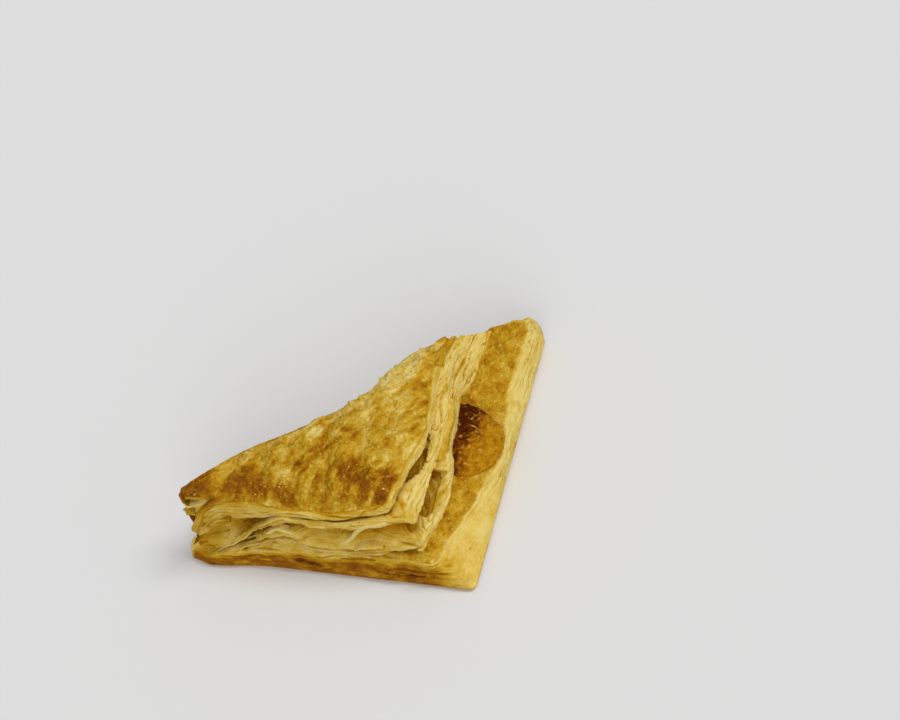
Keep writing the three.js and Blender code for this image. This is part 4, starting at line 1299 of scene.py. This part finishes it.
def build_flakes(crust_tree):
    """Blistered flakes of the topmost layer, standing along the ridge of the crust."""
    rng = random.Random(57)

    def pick():
        at = np.array(rng.uniform(0, RIDGE_LINE[-1, 0]))
        left = float(curve_through(RIDGE_LINE, 1, at)) + rng.gauss(0, FLAKE_SPREAD)
        right = float(curve_through(RIDGE_LINE, 2, at)) + rng.gauss(0, FLAKE_SPREAD)
        size = rng.uniform(*FLAKE_SIZES)
        place = drop_on(crust_tree, left, right, 0.16 * size)
        return None if place is None or place[2] > CAP_START + 0.8 else (place, size)

    found = gathered(FLAKE_COUNT, pick)
    return scatter_shapes("ridge_flakes", found, squash=0.55, seed=58, toast=FLAKE_TOAST)


# ---- Filling ----
FILLING_OUTER, FILLING_INNER = (0.2, 60.5), (54.0, 46.0)  # left and right of its two ends
FILLING_HALF_WIDTH = 19.0
FILLING_HALF_THICKNESS = 6.0
FILLING_HEIGHT = 17.5
FILLING_DROP = 1.5  # how much lower it lies where it has run out
FILLING_SLANT = 0.3  # how much the far side of the run-out stays back
FILLING_BLUNTNESS = (0.74, 0.76)  # along it and across it
SKIN_SPAN = (30, 20)  # mm along and across that its dimples are spread over


def build_filling():
    """Lump of baked-out fruit filling, flattened and blunt, with a sticky dimpled skin."""
    bpy.ops.object.select_all(action="DESELECT")
    bpy.ops.mesh.primitive_uv_sphere_add(segments=256, ring_count=160, radius=1)
    piece = bpy.context.object
    piece.name = "filling_lump"
    mesh = piece.data
    count = len(mesh.vertices)
    ball = np.empty(count * 3)
    mesh.vertices.foreach_get("co", ball)
    ball = ball.reshape(-1, 3)
    outer, inner = np.array(to_plan(*FILLING_OUTER)), np.array(to_plan(*FILLING_INNER))
    run = outer - inner
    along = run / np.linalg.norm(run)
    across = np.array([-along[1], along[0]])
    middle = (outer + inner) / 2
    blunt_x = blunted(ball[:, 2], FILLING_BLUNTNESS[0])
    blunt_y = blunted(ball[:, 0], FILLING_BLUNTNESS[1])
    up = ball[:, 1]
    run_out = smoothstep(blunt_x, -0.6, 0.9)
    a, b = blunt_x * SKIN_SPAN[0], blunt_y * SKIN_SPAN[1]
    lumps = 0.8 * fractal(a / 6, b / 6, up, seed=71) + 0.35 * noise(a / 1.7, b / 1.7, up * 3, seed=72)
    lumps = lumps + 0.3 * (1 - 2 * np.abs(noise(a / 3.1, b / 3.1, up * 2, seed=73)))
    half_width = FILLING_HALF_WIDTH + 0.6 * lumps
    slanted = 1 - FILLING_SLANT * smoothstep(blunt_y, -0.1, 1) * smoothstep(blunt_x, 0, 0.6)
    x = blunt_x * slanted * (np.linalg.norm(run) / 2 + 0.5 * lumps)
    z = FILLING_HEIGHT - FILLING_DROP * run_out + up * (FILLING_HALF_THICKNESS + lumps)
    plan = middle + along * x[:, None] + across * (blunt_y * half_width)[:, None]
    points = np.concatenate([plan + np.array(ORIGIN_SHIFT), z[:, None]], 1) * MM
    mesh.vertices.foreach_set("co", points.ravel())
    # Dark where it runs in under the flap and along its far side: burnt colour of the filling and painted
    # shade.
    attribute = mesh.attributes.new("burnt_and_shaded", "FLOAT", "POINT")
    left, right = from_plan(plan[:, 0], plan[:, 1])
    edge = left + 0.14 * (right - 60) + 2.4 * fractal(left, right, size=4, seed=74)
    burnt_and_shaded = 0.8 * smoothstep(edge, 5.5, 15) + 0.3 * smoothstep(right, 62, 74) + 0.1 * lumps
    attribute.data.foreach_set("value", burnt_and_shaded.astype(np.float32))
    bpy.ops.object.mode_set(mode="EDIT")
    bpy.ops.mesh.select_all(action="SELECT")
    bpy.ops.mesh.normals_make_consistent(inside=False)
    bpy.ops.object.mode_set(mode="OBJECT")
    bpy.ops.object.shade_smooth()
    return piece


# ---- Materials ----
class NodeKit:
    """Short ways to add nodes to one node tree and to join them."""

    def __init__(self, tree):
        self.tree = tree

    def feed(self, socket, value):
        """Joins an output to an input, or sets the input to a plain value."""
        if isinstance(value, bpy.types.NodeSocket):
            self.tree.links.new(value, socket)
        else:
            socket.default_value = value

    def add(self, kind, inputs=None, **settings):
        """A new node with these settings, and its inputs by name or number."""
        node = self.tree.nodes.new(kind)
        for key, value in settings.items():
            setattr(node, key, value)
        for key, value in (inputs or {}).items():
            self.feed(node.inputs[key], value)
        return node

    def maths(self, operation, *values):
        return self.add("ShaderNodeMath", dict(enumerate(values)), operation=operation).outputs[0]

    def scaled(self, value, factor, plus=0.0):
        return self.maths("MULTIPLY_ADD", value, factor, plus)

    def noise(self, vector, scale, detail, roughness):
        inputs = {"Vector": vector, "Scale": scale, "Detail": detail, "Roughness": roughness}
        return self.add("ShaderNodeTexNoise", inputs).outputs["Fac"]

    def spread(self, value, low, high, top=1.0):
        """0 at low and below, rising to the top value at high."""
        inputs = {"Value": value, "From Min": low, "From Max": high, "To Max": top}
        return self.add("ShaderNodeMapRange", inputs).outputs["Result"]

    def object_place(self):
        return self.add("ShaderNodeTexCoord").outputs["Object"]

    def attribute(self, name):
        return self.add("ShaderNodeAttribute", attribute_name=name).outputs["Fac"]

    def colours(self, source, stops):
        """Colour ramp through pairs of a position and a colour."""
        ramp = self.add("ShaderNodeValToRGB", {"Fac": source})
        elements = ramp.color_ramp.elements
        while len(elements) > 1:
            elements.remove(elements[-1])
        elements[0].position, elements[0].color = stops[0][0], (*stops[0][1], 1)
        for position, colour in stops[1:]:
            elements.new(position).color = (*colour, 1)
        return ramp.outputs["Color"]

    def bump(self, height, strength, distance):
        inputs = {"Height": height, "Strength": strength, "Distance": distance}
        return self.add("ShaderNodeBump", inputs).outputs["Normal"]

    def surface(self, inputs):
        """The material's shader, with these inputs."""
        shader = self.add("ShaderNodeBsdfPrincipled", inputs)
        self.add("ShaderNodeOutputMaterial", {"Surface": shader.outputs["BSDF"]})


def new_material(name):
    material = bpy.data.materials.new(name)
    material.use_nodes = True
    material.node_tree.nodes.clear()
    return material, NodeKit(material.node_tree)


# Browning and the colour of the pastry there.
PASTRY_COLOURS = (
    (0.0, (0.85, 0.67, 0.23)),
    (0.15, (0.77, 0.56, 0.13)),
    (0.3, (0.65, 0.40, 0.035)),
    (0.45, (0.53, 0.28, 0.008)),
    (0.6, (0.40, 0.165, 0.003)),
    (0.75, (0.27, 0.088, 0.002)),
    (0.9, (0.13, 0.033, 0.001)),
    (1.0, (0.06, 0.014, 0.001)),
)
PASTRY_INPUTS = ("Toast", "Glaze", "Flaky", "Run", "Leaf")
# Scale, detail and roughness of the noise of each pattern.
PATTERNS = {"patches": (200, 3, 0.6), "speckle": (900, 2, 0.6), "fine": (2400, 2, 0.5)}
LEAF_LINES = (0.07, 1.5)  # how close they vary along the leaves and across them
LEAF_NOISE = (1.0, 4, 0.65)
PASTRY_BUMP, FILLING_BUMP = (0.7, 0.0005), (0.8, 0.0007)  # strength, and height in metres
FLECK_NOISES = ((800, 2, 0.6), (480, 3, 0.66))  # round flecks and drawn-out ones
FLECK_SHARES = (0.6, 0.5)
FLECK_STRETCH = 2.5
FLECK_RANGE = (0.55, 0.68)
BUBBLE_SCALE = 560
# How much each pattern browns the pastry, with an offset, and how much it raises it.
BROWNING = (
    ("patches", 0.36, -0.18), ("speckle", 0.2, -0.1), ("flecks", -0.22, 0.04), ("leaves", -0.9, 0),
    ("bubbles", 0.16, 0),
)
RAISING = (("fine", 0.3), ("speckle", 1), ("leaves", 2.2), ("bubbles", 2.4), ("flecks", 0.9))


def pastry_group():
    """Node group: browning and leaf lines in; pastry colour, roughness and grain height out."""
    group = bpy.data.node_groups.new("baked_pastry", "ShaderNodeTree")
    for name in PASTRY_INPUTS:
        group.interface.new_socket(name, in_out="INPUT", socket_type="NodeSocketFloat")
    group.interface.new_socket("Color", in_out="OUTPUT", socket_type="NodeSocketColor")
    for name in ("Roughness", "Height"):
        group.interface.new_socket(name, in_out="OUTPUT", socket_type="NodeSocketFloat")
    kit = NodeKit(group)
    given = kit.add("NodeGroupInput").outputs
    coordinates = kit.object_place()
    patterns = {name: kit.noise(coordinates, *looks) for name, looks in PATTERNS.items()}

    run, leaf = (kit.scaled(given[name], by) for name, by in zip(("Run", "Leaf"), LEAF_LINES))
    on_leaf = kit.add("ShaderNodeCombineXYZ", {0: run, 1: leaf}).outputs["Vector"]
    leaves = kit.scaled(kit.noise(on_leaf, *LEAF_NOISE), 1, -0.5)
    patterns["leaves"] = kit.maths("MULTIPLY", leaves, given["Flaky"])

    turn = (0, 0, math.atan2(CREASE_RUN[1], CREASE_RUN[0]))
    stretch = {"Vector": coordinates, "Scale": (FLECK_STRETCH, 1, 1), "Rotation": turn}
    drawn_out = kit.add("ShaderNodeMapping", stretch, vector_type="TEXTURE").outputs["Vector"]
    mottle = kit.scaled(kit.noise(coordinates, *FLECK_NOISES[0]), FLECK_SHARES[0])
    streaks = kit.scaled(kit.noise(drawn_out, *FLECK_NOISES[1]), FLECK_SHARES[1])
    flecks = kit.spread(kit.maths("ADD", mottle, streaks), *FLECK_RANGE)
    patterns["flecks"] = kit.maths("MULTIPLY", flecks, given["Glaze"])

    cells = {"Vector": coordinates, "Scale": BUBBLE_SCALE, "Smoothness": 0.7}
    bubbles = kit.add("ShaderNodeTexVoronoi", cells, feature="SMOOTH_F1").outputs["Distance"]
    patterns["bubbles"] = kit.maths("MULTIPLY", kit.scaled(bubbles, -1, 0.42), given["Glaze"])

    browning, height = given["Toast"], 0.0
    for name, weight, plus in BROWNING:
        browning = kit.maths("ADD", browning, kit.scaled(patterns[name], weight, plus))
    for name, weight in RAISING:
        height = kit.maths("ADD", height, kit.scaled(patterns[name], weight))
    shine = kit.scaled(given["Glaze"], -0.14)
    roughness = kit.maths("ADD", kit.scaled(patterns["fine"], 0.2, 0.6), shine)
    colour = kit.colours(browning, PASTRY_COLOURS)
    kit.add("NodeGroupOutput", {"Color": colour, "Roughness": roughness, "Height": height})
    return group


def pastry_material():
    material, kit = new_material("baked_puff_pastry")
    given = {name: kit.attribute(name.lower()) for name in PASTRY_INPUTS}
    looks = kit.add("ShaderNodeGroup", given, node_tree=pastry_group()).outputs
    kit.surface({
        "Base Color": looks["Color"],
        "Roughness": looks["Roughness"],
        "Normal": kit.bump(looks["Height"], *PASTRY_BUMP),
        "Specular IOR Level": 0.06,
        "Subsurface Weight": 0.08,
        "Subsurface Radius": (1.0, 0.55, 0.2),
        "Subsurface Scale": 0.0012,
    })
    return material


FILLING_COLOURS = (
    (0.0, (0.50, 0.24, 0.004)), (0.3, (0.38, 0.15, 0.001)), (0.55, (0.23, 0.07, 0.0005)),
    (0.8, (0.12, 0.025, 0.0003)), (1.0, (0.07, 0.01, 0.0003)),
)
FILLING_STREAKS, FILLING_FLECKS = (380, 5, 0.72), (650, 2, 0.5)  # scale, detail, roughness
FILLING_BURNING = (1.9, -0.78)  # how much the streaks darken it, with an offset
FLECK_COLOUR = (0.62, 0.38, 0.06)
FILLING_FLECK_RANGE = (0.58, 0.7)
FILLING_FLECK_SHARE = 0.7


def filling_material():
    material, kit = new_material("baked_out_filling")
    coordinates = kit.object_place()
    uneven = kit.scaled(kit.noise(coordinates, *FILLING_STREAKS), *FILLING_BURNING)
    flecks = kit.noise(coordinates, *FILLING_FLECKS)
    # The darkening attribute is burnt colour and painted shade under the flap.
    colour = kit.colours(kit.maths("ADD", kit.attribute("burnt_and_shaded"), uneven), FILLING_COLOURS)
    share = kit.spread(flecks, *FILLING_FLECK_RANGE, FILLING_FLECK_SHARE)
    inputs = {0: share, 6: colour, 7: (*FLECK_COLOUR, 1)}
    kit.surface({
        "Base Color": kit.add("ShaderNodeMix", inputs, data_type="RGBA").outputs[2],
        "Normal": kit.bump(flecks, *FILLING_BUMP),
        "Roughness": 0.5,
        "Specular IOR Level": 0.035,
    })
    return material


def plain_material(name, colour, roughness, specular):
    material, kit = new_material(name)
    kit.surface({"Base Color": (*colour, 1), "Roughness": roughness, "Specular IOR Level": specular})
    return material


SUGAR_LOOKS = ((0.68, 0.47, 0.12), 0.45, 0.15)  # colour, roughness, specular


# ---- Stage ----
FLOOR_LOOKS = ((0.80, 0.80, 0.80), 0.9, 0.1)
FLOOR_SIZE = 6  # metres


def build_floor():
    bpy.ops.object.select_all(action="DESELECT")
    bpy.ops.mesh.primitive_plane_add(size=FLOOR_SIZE, location=(0, 0, 0))
    floor = bpy.context.object
    floor.name = "floor"
    floor.data.materials.append(plain_material("pale_floor", *FLOOR_LOOKS))
    return floor


# Sun-like soft lights: direction they come from, angle in degrees, strength.
LIGHTS = (
    ("key", (0.5, -0.2, 0.84), 26, 1.35),
    ("fill", (-0.35, -0.75, 0.57), 40, 0.85),
)
WORLD_STRENGTH = 0.39


def build_lights():
    for name, direction, angle, strength in LIGHTS:
        data = bpy.data.lights.new(name, "SUN")
        data.angle, data.energy = math.radians(angle), strength
        lamp = bpy.data.objects.new(name, data)
        bpy.context.collection.objects.link(lamp)
        lamp.location = direction
        lamp.rotation_mode = "QUATERNION"
        lamp.rotation_quaternion = (-Vector(direction)).to_track_quat("-Z", "Y")
    world = bpy.data.worlds.new("studio")
    bpy.context.scene.world = world
    world.use_nodes = True
    world.node_tree.nodes["Background"].inputs["Color"].default_value = (1, 1, 1, 1)
    world.node_tree.nodes["Background"].inputs["Strength"].default_value = WORLD_STRENGTH


# Camera: lens in mm, rows right, up and back, and its place in mm.
LENS = 85
CAMERA_RIGHT = (0.84432637, -0.49544953, -0.20406557)
CAMERA_UP = (0.5082661, 0.61996587, 0.59775236)
CAMERA_BACK = (-0.16964244, -0.60841769, 0.77527373)
CAMERA_PLACE = (-97.912, -461.679, 663.362)


def build_camera():
    data = bpy.data.cameras.new("camera")
    data.lens = LENS
    data.clip_start, data.clip_end = 0.01, 20
    camera = bpy.data.objects.new("camera", data)
    bpy.context.collection.objects.link(camera)
    turn = Matrix((CAMERA_RIGHT, CAMERA_UP, CAMERA_BACK)).transposed().to_4x4()
    place = Vector(CAMERA_PLACE) + Vector((*ORIGIN_SHIFT, 0))
    camera.matrix_world = Matrix.Translation(place * MM) @ turn
    bpy.context.scene.camera = camera


# ---- The scene ----
pastry = pastry_material()
body = build_body()
crust = build_crust()
leafy = [build_edge(name, *data) for name, data in EDGES.items()]
ribbons = [build_ribbon(name, *data) for name, data in RIBBONS.items()]
ribbons += [build_ribbon(name, "tip", *data) for name, data in TIP_LEAVES.items()]
trees = surface_tree(crust), surface_tree(leafy[1])
crumbs = build_crumbs(trees)
flakes = build_flakes(trees[0])
for piece in (body, crust, crumbs, flakes, *leafy, *ribbons):
    piece.data.materials.append(pastry)
    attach(piece, "root")
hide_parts("pastry")
sugar = build_sugar(trees)
sugar.data.materials.append(plain_material("baked_sugar", *SUGAR_LOOKS))
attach(sugar, "root")

filling = build_filling()
filling.data.materials.append(filling_material())
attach(filling, "root")
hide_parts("filling")

floor = build_floor()
build_lights()
build_camera()
bpy.context.scene.view_settings.view_transform = "Standard"
